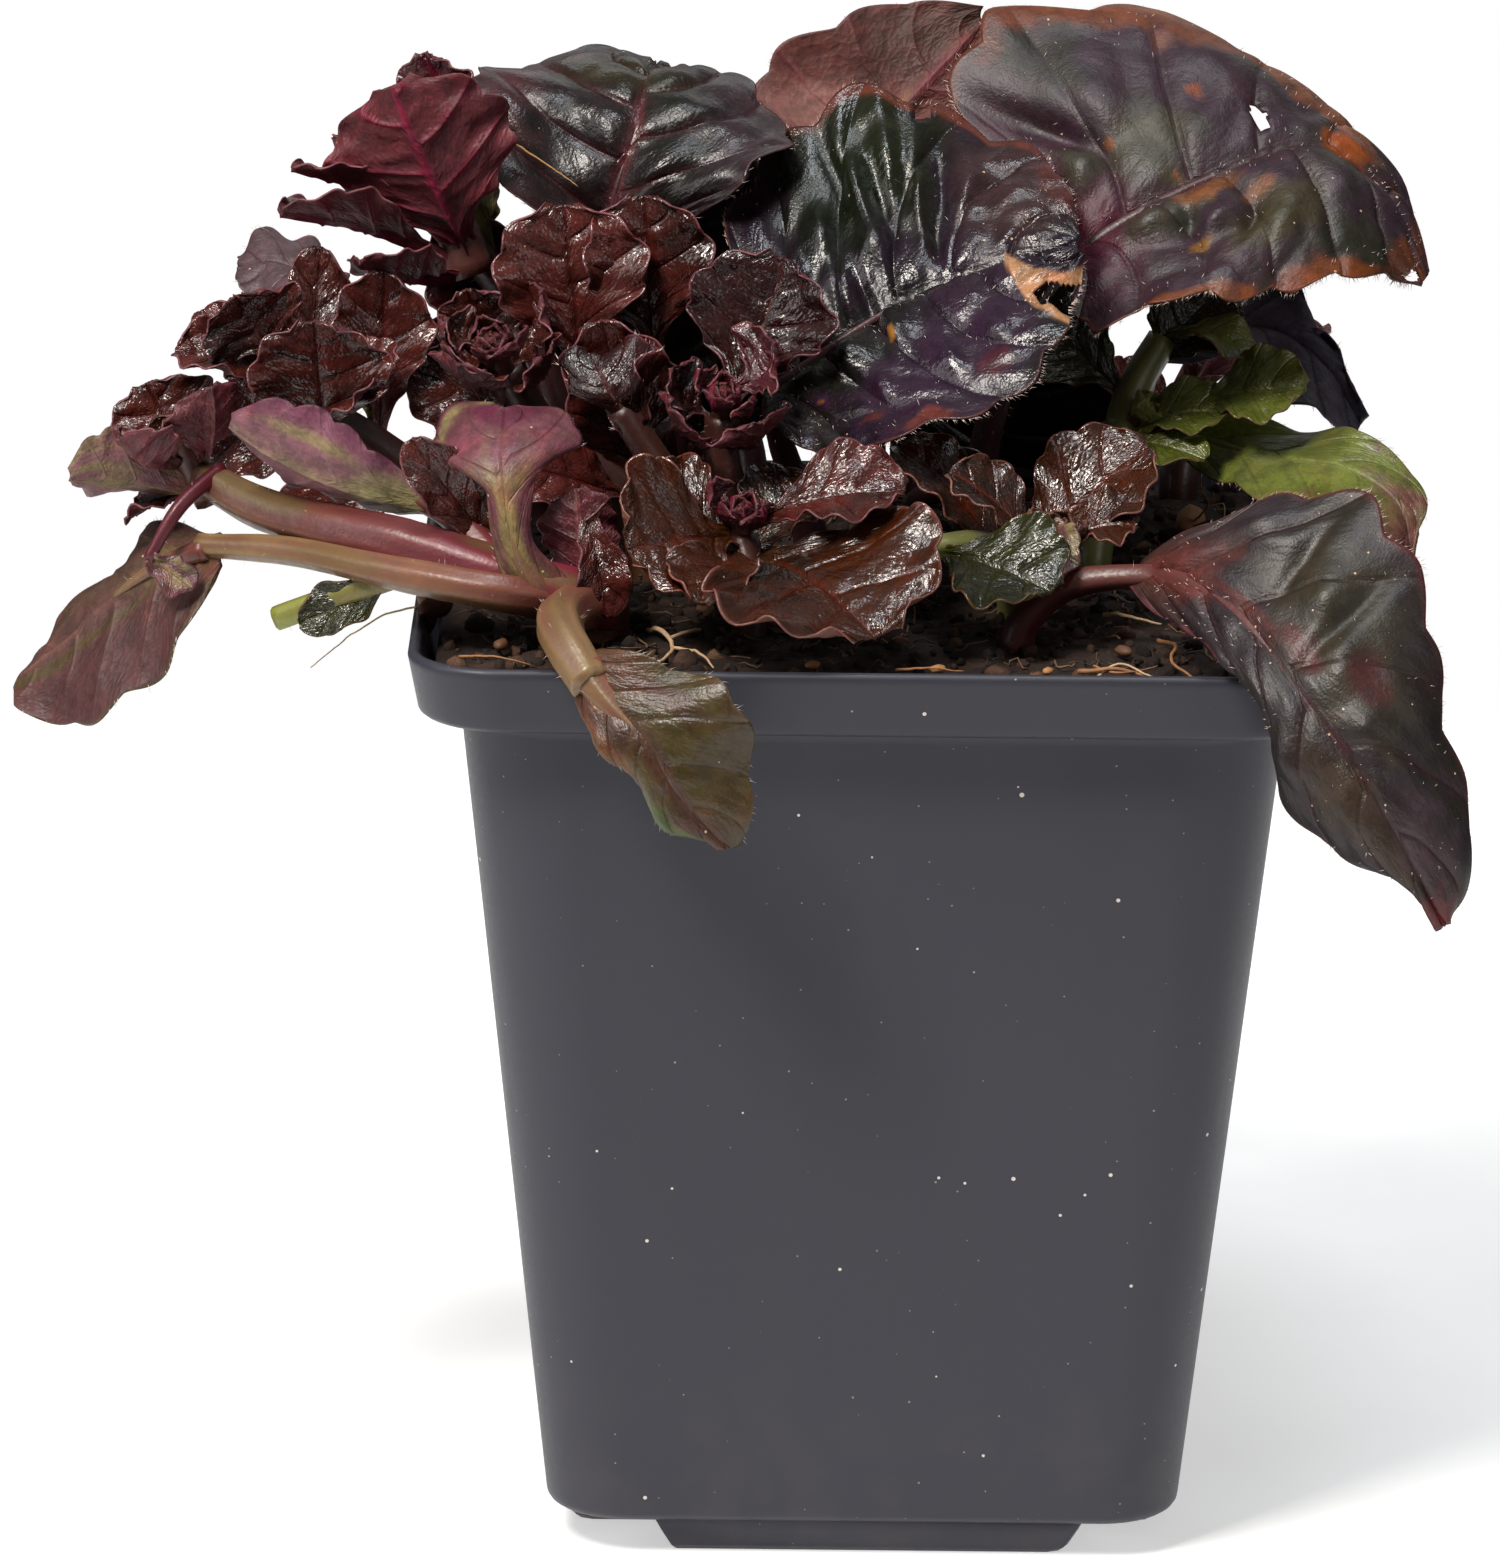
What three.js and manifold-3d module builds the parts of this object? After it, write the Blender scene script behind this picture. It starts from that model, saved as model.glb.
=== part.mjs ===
// Potted bugleweed in a square nursery pot.
// Millimetres, +Z up. The origin is the centre of the flat underside of the pot's foot.
// The side of the pot at -Y is its front; the plant leans out over the left (-X) and right rims.
import * as THREE from 'three';
import { mergeVertices } from 'three/addons/utils/BufferGeometryUtils.js';
import Module from 'manifold-3d';

const wasm = await Module();
wasm.setup();

// Driving dimensions of the pot
const RIM_WIDTH = 90;
const RIM_CORNER = 9;
const POT_HEIGHT = 94;
const COLLAR_HEIGHT = 6.5;
const COLLAR_FOOT_WIDTH = 87.8;
const BODY_TOP_WIDTH = 80.4;
const BODY_TOP_CORNER = 11;
const BODY_FOOT_WIDTH = 63;
const BODY_FOOT_CORNER = 8;
const BODY_EDGE = 1.5;
const WALL = 1.2;
const FOOT_HEIGHT = 3.6;
const FOOT_ARM = 45;
const FOOT_ARM_BASE = 41;
const FOOT_REACH = 59.5;
const FOOT_REACH_BASE = 58;
const DRAIN_RADIUS = 2.3;
const DRAIN_PLACE = 25;
const DRAIN_SIDES = 8;
const CORNER_STEPS = 4;
const LIP_HEIGHT = 0.4;
const LIP_INSET = 0.6;
const SHELF_SLOPE = 0.5;

// Driving dimensions of the soil and of what stands in it
const GAP = 0.3;
const SOIL_LEVEL = 92.2;
const SOIL_MOUND = 1.6;
const SOIL_CRUMB = 0.45;
const SOIL_RINGS = [0.93, 0.5];
const SOIL_CORNER_STEPS = 2;
const ROOTING = 8;
const SOIL_EDGE_DROP = 0.6;
const HOLE_SIDES = 4;
const HOLE_PLAY = 0.55;
const HOLE_ABOVE = 8;

// Driving dimensions of leaves and stems
const BLADE = 0.75;
const TIP_END = 0.965;
const SCALLOP = 0.09;
const LARGE_WAVES = 2.5;
const SMALL_WAVES = 2;
const NARROW_LEAF = 8.5;
const WAIST = 0.16;
const WAIST_END = 0.12;
const WIDEST = 0.6;
const OPPOSITE = 2;
const RIB_SINK = 0.5;
const RIB_START = 0.04;
const RIB_STOP = 0.28;
const RIB_END_RADIUS = 0.5;
// Each small leaf is this much wider than the width in its row
const FULLNESS = 1.2;
const COLLAR_BELOW = 2;
const COLLAR_ABOVE = 2.5;
const ROOTED_STEPS = 4;
const BRANCH_STEPS = 4;
const STEM_SIDES = 4;
const THICK_STEM = 2.5;
const THICK_STEM_SIDES = 6;

// A rosette's core: its radius against the length of the young leaves, and its half length, its
// upper end and the place of the leaf bases against that radius
const CORE = 0.22;
const CORE_LENGTH = 2;
const CORE_TOP = 0.5;
const CORE_SIDES = 5;
const CORE_SPARE = 1;
const BASE_PLACE = 0.7;
const ASKEW = [0.31, 0.17, 0.93];

// The young leaves of a rosette, from the innermost pair to the outermost: how far they open in
// radians, how long they are against the rosette's length, and how much one differs from the next
const YOUNG_OPEN = [0.1, 0.55];
const YOUNG_REACH = [0.45, 0.8];
const YOUNG_UNEVEN = [0.9, 1.1];
const YOUNG_TURN = 0.5;
const YOUNG_TILT = 0.2;
const YOUNG_WIDTH = 0.6;
const YOUNG_ARCH = 0.16;
const YOUNG_FORM = { cup: 0.45, scallops: 2, ruffle: 0.3 };

const vector = (p) => new THREE.Vector3(...p);
const mix = THREE.MathUtils.lerp;
const smooth = THREE.MathUtils.smoothstep;

// Edges shorter than the first are drawn together where pieces join, and points nearer than the
// second are one point
const FINEST = 0.02;
const SAME_POINT = 1e-4;

// Even numbers from 0 to 1, the same on every run
function seeded(seed) {
  let state = seed;
  return () => {
    state = (state * 16807) % 2147483647;
    return state / 2147483647;
  };
}

// Closed surfaces

function closedGeometry(points, faces) {
  const geometry = new THREE.BufferGeometry();
  const flat = points.flatMap((p) => [p.x, p.y, p.z]);
  geometry.setAttribute('position', new THREE.Float32BufferAttribute(flat, 3));
  geometry.setIndex(faces.flat());
  return geometry;
}

function toSolid(geometry) {
  const bare = geometry.clone();
  bare.deleteAttribute('normal');
  bare.deleteAttribute('uv');
  const merged = mergeVertices(bare, SAME_POINT);
  return new wasm.Manifold(new wasm.Mesh({
    numProp: 3,
    tolerance: FINEST,
    vertProperties: new Float32Array(merged.attributes.position.array),
    triVerts: new Uint32Array(merged.index.array),
  }));
}

function fromSolid(solid) {
  const { vertProperties, triVerts } = solid.getMesh();
  const geometry = new THREE.BufferGeometry();
  geometry.setAttribute('position', new THREE.Float32BufferAttribute(vertProperties, 3));
  geometry.setIndex(Array.from(triVerts));
  return geometry;
}

// One body from many: what stays loose, and any hollow that the joining seals, is dropped
function joined(geometries) {
  const whole = geometries.map(toSolid).reduce((sum, solid) => sum.add(solid));
  return whole.decompose().reduce((a, b) => (a.volume() > b.volume() ? a : b));
}

// Rings of points stacked into one closed skin, from the first ring's cap to the last ring's cap
function loft(rings) {
  const count = rings[0].length;
  const points = rings.flat();
  const faces = [];
  for (let r = 0; r + 1 < rings.length; r += 1) {
    for (let i = 0; i < count; i += 1) {
      const j = (i + 1) % count;
      const a = r * count;
      const b = a + count;
      faces.push([a + i, a + j, b + j], [a + i, b + j, b + i]);
    }
  }
  const middle = (ring) => ring.reduce((sum, p) => sum.add(p), new THREE.Vector3()).divideScalar(count);
  const first = points.push(middle(rings[0])) - 1;
  const last = points.push(middle(rings.at(-1))) - 1;
  const top = (rings.length - 1) * count;
  for (let i = 0; i < count; i += 1) {
    const j = (i + 1) % count;
    faces.push([first, j, i], [last, top + i, top + j]);
  }
  return closedGeometry(points, faces);
}

// A square with round corners, anticlockwise from above
function squareRing(width, corner, z, steps = CORNER_STEPS) {
  const ring = [];
  const reach = width / 2 - corner;
  for (let quarter = 0; quarter < 4; quarter += 1) {
    const turn = (quarter * Math.PI) / 2;
    const centreAngle = turn + Math.PI / 4;
    const cx = reach * Math.SQRT2 * Math.cos(centreAngle);
    const cy = reach * Math.SQRT2 * Math.sin(centreAngle);
    for (let i = 0; i <= steps; i += 1) {
      const angle = turn + (i / steps) * (Math.PI / 2);
      ring.push(new THREE.Vector3(cx + corner * Math.cos(angle), cy + corner * Math.sin(angle), z));
    }
  }
  return ring;
}

// Pot

const bodyZ = FOOT_HEIGHT + BODY_EDGE;
const collarZ = POT_HEIGHT - COLLAR_HEIGHT;
const floorZ = FOOT_HEIGHT + WALL;

function bodyWidth(z) {
  return mix(BODY_FOOT_WIDTH, BODY_TOP_WIDTH, (z - bodyZ) / (collarZ - bodyZ));
}

function potShell() {
  const shelfZ = collarZ + WALL;
  return loft([
    squareRing(BODY_FOOT_WIDTH - 2 * BODY_EDGE, BODY_FOOT_CORNER - BODY_EDGE, FOOT_HEIGHT),
    squareRing(BODY_FOOT_WIDTH, BODY_FOOT_CORNER, bodyZ),
    squareRing(BODY_TOP_WIDTH, BODY_TOP_CORNER, collarZ - SHELF_SLOPE),
    squareRing(COLLAR_FOOT_WIDTH, RIM_CORNER, collarZ),
    squareRing(RIM_WIDTH, RIM_CORNER, POT_HEIGHT - LIP_HEIGHT),
    squareRing(RIM_WIDTH - LIP_INSET, RIM_CORNER, POT_HEIGHT),
    squareRing(RIM_WIDTH - 2 * WALL, RIM_CORNER - WALL, POT_HEIGHT),
    squareRing(COLLAR_FOOT_WIDTH - 2 * WALL, RIM_CORNER - WALL, shelfZ),
    squareRing(BODY_TOP_WIDTH - 2 * WALL, BODY_TOP_CORNER - WALL, shelfZ - SHELF_SLOPE),
    squareRing(bodyWidth(floorZ) - 2 * WALL, BODY_FOOT_CORNER - WALL, floorZ),
  ]);
}

function crossRing(arm, reach, z) {
  const a = arm / 2;
  const r = reach / 2;
  const quarter = [[r, -a], [r, a], [a, a]];
  const ring = [];
  for (let turn = 0; turn < 4; turn += 1) {
    const spin = new THREE.Matrix4().makeRotationZ((turn * Math.PI) / 2);
    quarter.forEach(([x, y]) => ring.push(new THREE.Vector3(x, y, z).applyMatrix4(spin)));
  }
  return ring;
}

function pot() {
  const foot = loft([
    crossRing(FOOT_ARM_BASE, FOOT_REACH_BASE, 0),
    crossRing(FOOT_ARM, FOOT_REACH, FOOT_HEIGHT + WALL / 2),
  ]);
  let body = toSolid(potShell()).add(toSolid(foot));
  for (const x of [-DRAIN_PLACE, DRAIN_PLACE]) {
    for (const y of [-DRAIN_PLACE, DRAIN_PLACE]) {
      const drain = new THREE.CylinderGeometry(DRAIN_RADIUS, DRAIN_RADIUS, 4 * WALL, DRAIN_SIDES);
      drain.rotateX(Math.PI / 2).translate(x, y, floorZ);
      body = body.subtract(toSolid(drain));
    }
  }
  return fromSolid(body);
}

// Stems: a round tapering tube through a few points, closed at both ends

function curveThrough(points) {
  return new THREE.CatmullRomCurve3(points.map(vector), false, 'centripetal');
}

function stalk(points, startRadius, endRadius, steps) {
  const curve = curveThrough(points);
  const rings = [];
  const sides = startRadius > THICK_STEM ? THICK_STEM_SIDES : STEM_SIDES;
  let side = new THREE.Vector3(1, 0, 0);
  for (let i = 0; i <= steps; i += 1) {
    const u = i / steps;
    const along = curve.getTangentAt(u);
    side = side.addScaledVector(along, -side.dot(along)).normalize();
    const across = along.clone().cross(side);
    const centre = curve.getPointAt(u);
    const radius = mix(startRadius, endRadius, u);
    const ring = [];
    for (let k = 0; k < sides; k += 1) {
      const angle = (k / sides) * 2 * Math.PI;
      ring.push(centre.clone()
        .addScaledVector(side, radius * Math.cos(angle))
        .addScaledVector(across, radius * Math.sin(angle)));
    }
    rings.push(ring);
  }
  return loft(rings);
}

// Each stem that stands in the soil leaves its place here, and the soil gets a hole for it
const feet = [];

function rootedStalk([x, y], points, startRadius, endRadius, steps) {
  feet.push({ x, y, radius: startRadius });
  const start = [-ROOTING, -COLLAR_BELOW, COLLAR_ABOVE].map((z) => [x, y, SOIL_LEVEL + z]);
  return stalk([...start, ...points], startRadius, endRadius, steps);
}

// Leaf blades
// A blade is a surface P(u, v): u runs along the midrib from base to tip, and v runs across it
// from -1 at the right margin to 1 at the left margin, seen from above with the tip away.

// A large leaf is drawn through three curves: its midrib, its left margin and its right margin
function drawnSurface({ rib, left, right }) {
  const curves = [rib, left, right].map(curveThrough);
  return (u, v) => {
    const [m, l, r] = curves.map((curve) => curve.getPointAt(u));
    const bow = l.clone().add(r).multiplyScalar(0.5).sub(m);
    return m.addScaledVector(l.sub(r), v / 2).addScaledVector(bow, v * v);
  };
}

// A spoon-shaped leaf goes from one point to another; face is where its upper side looks, arch is
// how far the midrib bows towards that side, and cup is how far the margins rise from it
function spoonSurface({ from, to, wide, arch = 0, cup = 0.3, face, waist = WAIST }) {
  const base = vector(from);
  const tip = vector(to);
  const along = tip.clone().sub(base).normalize();
  const look = vector(face);
  look.addScaledVector(along, -look.dot(along)).normalize();
  const control = base.clone().add(tip).multiplyScalar(0.5).addScaledVector(look, 2 * arch);
  const rib = new THREE.QuadraticBezierCurve3(base, control, tip);
  const halfWidth = (u) => {
    const swell = mix(waist, 1, smooth(u, WAIST_END, WIDEST));
    const past = Math.max(0, u - WIDEST) / (1 - WIDEST);
    const round = Math.sqrt(Math.max(0, 1 - past ** 2));
    return (wide / 2) * swell * round;
  };
  return (u, v) => {
    const way = rib.getTangent(u);
    const normal = look.clone().addScaledVector(way, -look.dot(way)).normalize();
    const side = normal.clone().cross(way);
    const half = halfWidth(u);
    return rib.getPoint(u).addScaledVector(side, half * v).addScaledVector(normal, cup * half * v * v);
  };
}

function normalOf(surface, u, v, step = 0.01) {
  const u0 = Math.max(0, u - step);
  const u1 = Math.min(1, u + step);
  const du = surface(u1, v).sub(surface(u0, v));
  const dv = surface(u, v + step).sub(surface(u, v - step));
  return du.cross(dv).normalize();
}

// The scalloped, waved form of a surface
function wavedSurface(surface, { scallops, ruffle = 0, waves = 2, phase = 0 }) {
  return (u, v) => {
    const edge = Math.abs(v) ** 3;
    const tooth = 0.5 - 0.5 * Math.cos(2 * Math.PI * scallops * u);
    const reach = v * (1 + SCALLOP * edge * tooth);
    const shift = v > 0 ? phase : phase + OPPOSITE;
    const lift = ruffle * v * v * Math.sin(2 * Math.PI * waves * u + shift);
    const point = surface(u, reach);
    return lift === 0 ? point : point.addScaledVector(normalOf(surface, u, v), lift);
  };
}

// The two faces are the same grid, half a thickness up and down, so their triangles match
function bladeSolid(surface, rows, columns) {
  const points = [];
  const index = (face, i, j) => face * (rows + 1) * (columns + 1) + i * (columns + 1) + j;
  for (const side of [0.5, -0.5]) {
    for (let i = 0; i <= rows; i += 1) {
      for (let j = 0; j <= columns; j += 1) {
        const u = (i / rows) * TIP_END;
        const v = (j / columns) * 2 - 1;
        points.push(surface(u, v).addScaledVector(normalOf(surface, u, v), side * BLADE));
      }
    }
  }
  const faces = [];
  const quad = (a, b, c, d) => faces.push([a, b, c], [a, c, d]);
  for (let i = 0; i < rows; i += 1) {
    for (let j = 0; j < columns; j += 1) {
      quad(index(0, i, j), index(0, i + 1, j), index(0, i + 1, j + 1), index(0, i, j + 1));
      quad(index(1, i, j), index(1, i, j + 1), index(1, i + 1, j + 1), index(1, i + 1, j));
    }
    const far = columns;
    quad(index(0, i, 0), index(1, i, 0), index(1, i + 1, 0), index(0, i + 1, 0));
    quad(index(0, i + 1, far), index(1, i + 1, far), index(1, i, far), index(0, i, far));
  }
  for (let j = 0; j < columns; j += 1) {
    quad(index(0, 0, j + 1), index(1, 0, j + 1), index(1, 0, j), index(0, 0, j));
    quad(index(0, rows, j), index(1, rows, j), index(1, rows, j + 1), index(0, rows, j + 1));
  }
  return closedGeometry(points, faces);
}

// A large leaf: its blade, and its petiole that runs on along the midrib
function largeLeaf({ foot, petiole = [], girth = 2, scallops = 6, columns = 4, ruffle = 0.8,
  phase = 0, ...outline }) {
  const plain = drawnSurface(outline);
  const surface = wavedSurface(plain, { scallops, ruffle, waves: LARGE_WAVES, phase });
  const under = (u) => plain(u, 0).addScaledVector(normalOf(plain, u, 0), -RIB_SINK).toArray();
  const run = [...petiole, under(RIB_START), under(RIB_STOP)];
  const stem = foot
    ? rootedStalk(foot, run, girth, RIB_END_RADIUS, ROOTED_STEPS + 1)
    : stalk(run, girth, RIB_END_RADIUS, BRANCH_STEPS - 1);
  return [stem, bladeSolid(surface, 2 * scallops, columns)];
}

// A small leaf
function smallLeaf(leaf) {
  const { scallops = leaf.wide < NARROW_LEAF ? 2 : 3, ruffle = 0.5, phase = 0, columns = 2 } = leaf;
  const plain = spoonSurface({ ...leaf, wide: FULLNESS * leaf.wide });
  const surface = wavedSurface(plain, { scallops, ruffle, waves: SMALL_WAVES, phase });
  return bladeSolid(surface, 2 * scallops, columns);
}

// A rosette: pairs of young leaves, each turned a quarter from the last and opening outwards, and
// round them the leaves that are given one by one. They sit one over the other on a short core, the
// most upright leaf highest.
function rosette({ at, axis, pairs = 1, length, seed, leaves }) {
  const random = seeded(seed);
  const centre = vector(at);
  const pole = vector(axis).normalize();
  const east = vector(ASKEW).cross(pole).normalize();
  const north = pole.clone().cross(east);
  const young = [];
  for (let pair = 0; pair < pairs; pair += 1) {
    const age = (pair + 1) / pairs;
    for (const half of [0, 1]) {
      const angle = (pair / 2 + half) * Math.PI + (random() - 0.5) * YOUNG_TURN;
      const open = mix(...YOUNG_OPEN, age) + (random() - 0.5) * YOUNG_TILT;
      const reach = length * mix(...YOUNG_REACH, age) * mix(...YOUNG_UNEVEN, random());
      const out = east.clone().multiplyScalar(Math.cos(angle)).addScaledVector(north, Math.sin(angle));
      const way = pole.clone().multiplyScalar(Math.cos(open)).addScaledVector(out, Math.sin(open));
      young.push({
        ...YOUNG_FORM,
        to: centre.clone().addScaledVector(way, reach).toArray(),
        wide: YOUNG_WIDTH * reach,
        arch: -YOUNG_ARCH * reach,
        phase: 6 * random(),
      });
    }
  }
  const all = [...young, ...leaves].map((leaf) => {
    const way = vector(leaf.to).sub(centre).normalize();
    const rise = way.dot(pole);
    return { leaf, rise, out: way.addScaledVector(pole, -rise).normalize() };
  });
  all.sort((a, b) => a.rise - b.rise);
  const radius = CORE * length;
  const parts = all.map(({ leaf, out }, rank) => {
    const height = mix(-CORE_LENGTH, CORE_LENGTH, rank / (all.length - 1)) * radius;
    const from = centre.clone().addScaledVector(pole, height).addScaledVector(out, BASE_PLACE * radius);
    return smallLeaf({ from: from.toArray(), face: pole.toArray(), ...leaf });
  });
  const spin = new THREE.Quaternion().setFromUnitVectors(new THREE.Vector3(0, 1, 0), pole);
  const height = 2 * CORE_LENGTH * radius + CORE_SPARE;
  const core = new THREE.CylinderGeometry(CORE_TOP * radius, radius, height, CORE_SIDES);
  core.applyQuaternion(spin).translate(...at);
  return [core, ...parts];
}

// The plant: every leaf and shoot of the photograph's side first, then the back

const TOWARDS_FRONT = [0, -1, 0.35];
const TOWARDS_BACK = [0, 1, 0.1];

const largeLeaves = {
  leaf_top_right: {
    foot: [10, 9],
    petiole: [[12, 7, 108], [16, 4, 120]],
    rib: [[20, 4, 125], [26, 5, 129], [35, 7, 133], [43, 10, 135], [50, 10, 131], [55, 7, 122]],
    left: [
      [18, 6, 126], [11, 14, 134], [11, 20, 144], [25, 24, 145], [40, 24, 140], [50, 18, 132],
      [55, 8, 122],
    ],
    right: [[20, 2, 123], [21, -4, 120], [28, -6, 122], [39, -5, 124], [48, 0, 124], [55, 6, 122]],
    scallops: 7,
    colour: 0x3a2a30,
  },
  leaf_centre: {
    foot: [-6, 6],
    petiole: [[-8, 3, 102], [-10, -4, 110]],
    rib: [[-11, -9, 113], [-3, -8, 119], [4, -6, 123], [12, -6, 126], [20, -7, 128]],
    left: [
      [-13, -6, 117], [-14, 2, 127], [-9, 9, 134], [0, 12, 138], [9, 10, 136], [17, 4, 133],
      [20, -5, 128],
    ],
    right: [
      [-11, -13, 111], [-3, -20, 110], [7, -22, 114], [15, -19, 118], [19, -12, 123],
      [20, -8, 128],
    ],
    scallops: 7,
    colour: 0x2c2229,
  },
  leaf_top_left: {
    foot: [-21, 15],
    petiole: [[-25, 12, 108]],
    rib: [[-27, 6, 123], [-26, 6, 130], [-24, 8, 136], [-23, 14, 140], [-22, 22, 140]],
    left: [
      [-29, 5, 125], [-35, 4, 129], [-38, 6, 134], [-40, 12, 139], [-36, 20, 140], [-29, 26, 140],
      [-23, 24, 140],
    ],
    right: [
      [-23, 5, 125], [-18, 2, 129], [-13, 1, 133], [-9, 6, 135], [-12, 14, 138], [-16, 21, 139],
      [-22, 24, 140],
    ],
    colour: 0x2a2628,
  },
  leaf_top_middle: {
    foot: [0, 21],
    petiole: [[0, 20, 112]],
    rib: [[1, 18, 128], [1, 20, 133], [4, 22, 137], [8, 24, 141], [11, 26, 144]],
    left: [[3, 18, 129], [6, 20, 134], [10, 20, 136], [13, 22, 140], [13, 25, 143]],
    right: [[-2, 18, 129], [-10, 20, 134], [-11, 22, 139], [-5, 24, 143], [4, 26, 146], [11, 27, 145]],
    scallops: 5,
    columns: 2,
    colour: 0x5c3835,
  },
  leaf_over_rim: {
    foot: [14, -30],
    petiole: [[18, -30, 99]],
    rib: [
      [25.5, -31, 101], [30, -39, 102], [35, -46, 100], [40, -54, 95], [45, -58, 89],
      [50, -60, 81], [54, -58, 73],
    ],
    left: [
      [26, -30, 102], [32, -35, 106], [39, -38, 110], [46, -42, 110], [51, -48, 102], [54, -54, 91],
      [56, -57, 80], [54, -57, 73],
    ],
    right: [
      [25, -32, 99.5], [28, -39, 98], [33, -47, 97], [37, -52, 94], [38, -53, 85], [45, -55, 80],
      [51, -58, 77], [53, -57, 72],
    ],
    scallops: 7,
    colour: 0x33292e,
  },
  leaf_right_green: {
    foot: [24, 12],
    petiole: [[26, 11, 101]],
    rib: [[29, 10, 106], [35, 6, 105], [41, 0, 105], [47, -4, 105], [52, -8, 102], [53, -12, 95]],
    left: [
      [29, 10, 107], [35, 8, 108], [43, 5, 107], [49, 0, 107], [54, -5, 104], [54, -10, 99],
      [53, -13, 94],
    ],
    right: [[29, 9, 105], [34, 2, 103], [39, -6, 102], [44, -12, 102], [49, -16, 99], [52, -14, 94]],
    colour: 0x6c8a2c,
  },
  leaf_right_dark: {
    foot: [26, 24],
    petiole: [[27, 23, 104]],
    rib: [[28, 22, 111], [35, 20, 114], [41, 18, 114], [46, 14, 111], [49, 10, 106]],
    left: [[28, 23, 112], [35, 24, 117], [42, 22, 119], [45, 18, 114], [48, 14, 111], [50, 10, 107]],
    right: [[29, 20, 110], [36, 16, 112], [39, 12, 110], [44, 8, 108], [49, 8, 106]],
    scallops: 5,
    columns: 2,
    colour: 0x38343b,
  },
  leaf_left_back: {
    foot: [-33, 20],
    petiole: [[-40, 16, 106]],
    rib: [[-53, 12, 118], [-57, 13, 120], [-60, 14, 121], [-64, 16, 120]],
    left: [[-53, 9, 116], [-58, 9, 118], [-62, 11, 118], [-64, 14, 119]],
    right: [[-53, 15, 119], [-57, 18, 122], [-61, 19, 123], [-64, 17, 121]],
    scallops: 4,
    columns: 2,
    colour: 0x514549,
  },
  leaf_inner_left: {
    foot: [-17, 24],
    petiole: [[-18, 23, 97]],
    rib: [[-19, 21, 99], [-20, 19, 105], [-22, 17, 112], [-20, 14, 122], [-15, 14, 132]],
    left: [[-21, 20, 99], [-30, 17, 104], [-33, 14, 112], [-30, 12, 120], [-20, 14, 131]],
    right: [
      [-17, 20, 99], [-11, 17, 104], [-8, 14, 112], [-7, 13, 121], [-9, 14, 130], [-14, 14, 132.5],
    ],
    scallops: 4,
    columns: 2,
    colour: 0x2c2224,
  },
  leaf_inner_right: {
    foot: [5, 24],
    petiole: [[7, 23, 96]],
    rib: [[10, 20, 98], [13, 18, 104], [15, 16, 110], [16, 14, 117]],
    left: [[8, 20, 98], [3, 17, 104], [4, 14, 112], [10, 12, 117], [15, 13, 118]],
    right: [[12, 20, 97], [22, 18, 99], [25, 16, 104], [21, 14, 112], [17, 13, 118]],
    scallops: 4,
    columns: 2,
    colour: 0x2c2224,
  },
  leaf_back_left: {
    foot: [-12, 34],
    petiole: [[-14, 38, 104]],
    rib: [[-17, 43, 112], [-21, 50, 115], [-26, 58, 114], [-30, 65, 108]],
    left: [[-19, 42, 112], [-28, 46, 117], [-34, 56, 115], [-31, 65, 108]],
    right: [[-15, 45, 112], [-13, 54, 116], [-18, 64, 114], [-29, 66, 108]],
    scallops: 5,
    columns: 2,
    colour: 0x2f262b,
  },
  leaf_back_right: {
    foot: [16, 32],
    petiole: [[19, 36, 104]],
    rib: [[23, 40, 111], [28, 47, 113], [33, 55, 110], [36, 61, 102]],
    left: [[21, 42, 111], [20, 51, 115], [26, 61, 111], [35, 62, 102]],
    right: [[25, 38, 111], [34, 40, 114], [41, 50, 111], [37, 60, 102]],
    scallops: 5,
    columns: 2,
    colour: 0x2f262b,
  },
};

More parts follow.
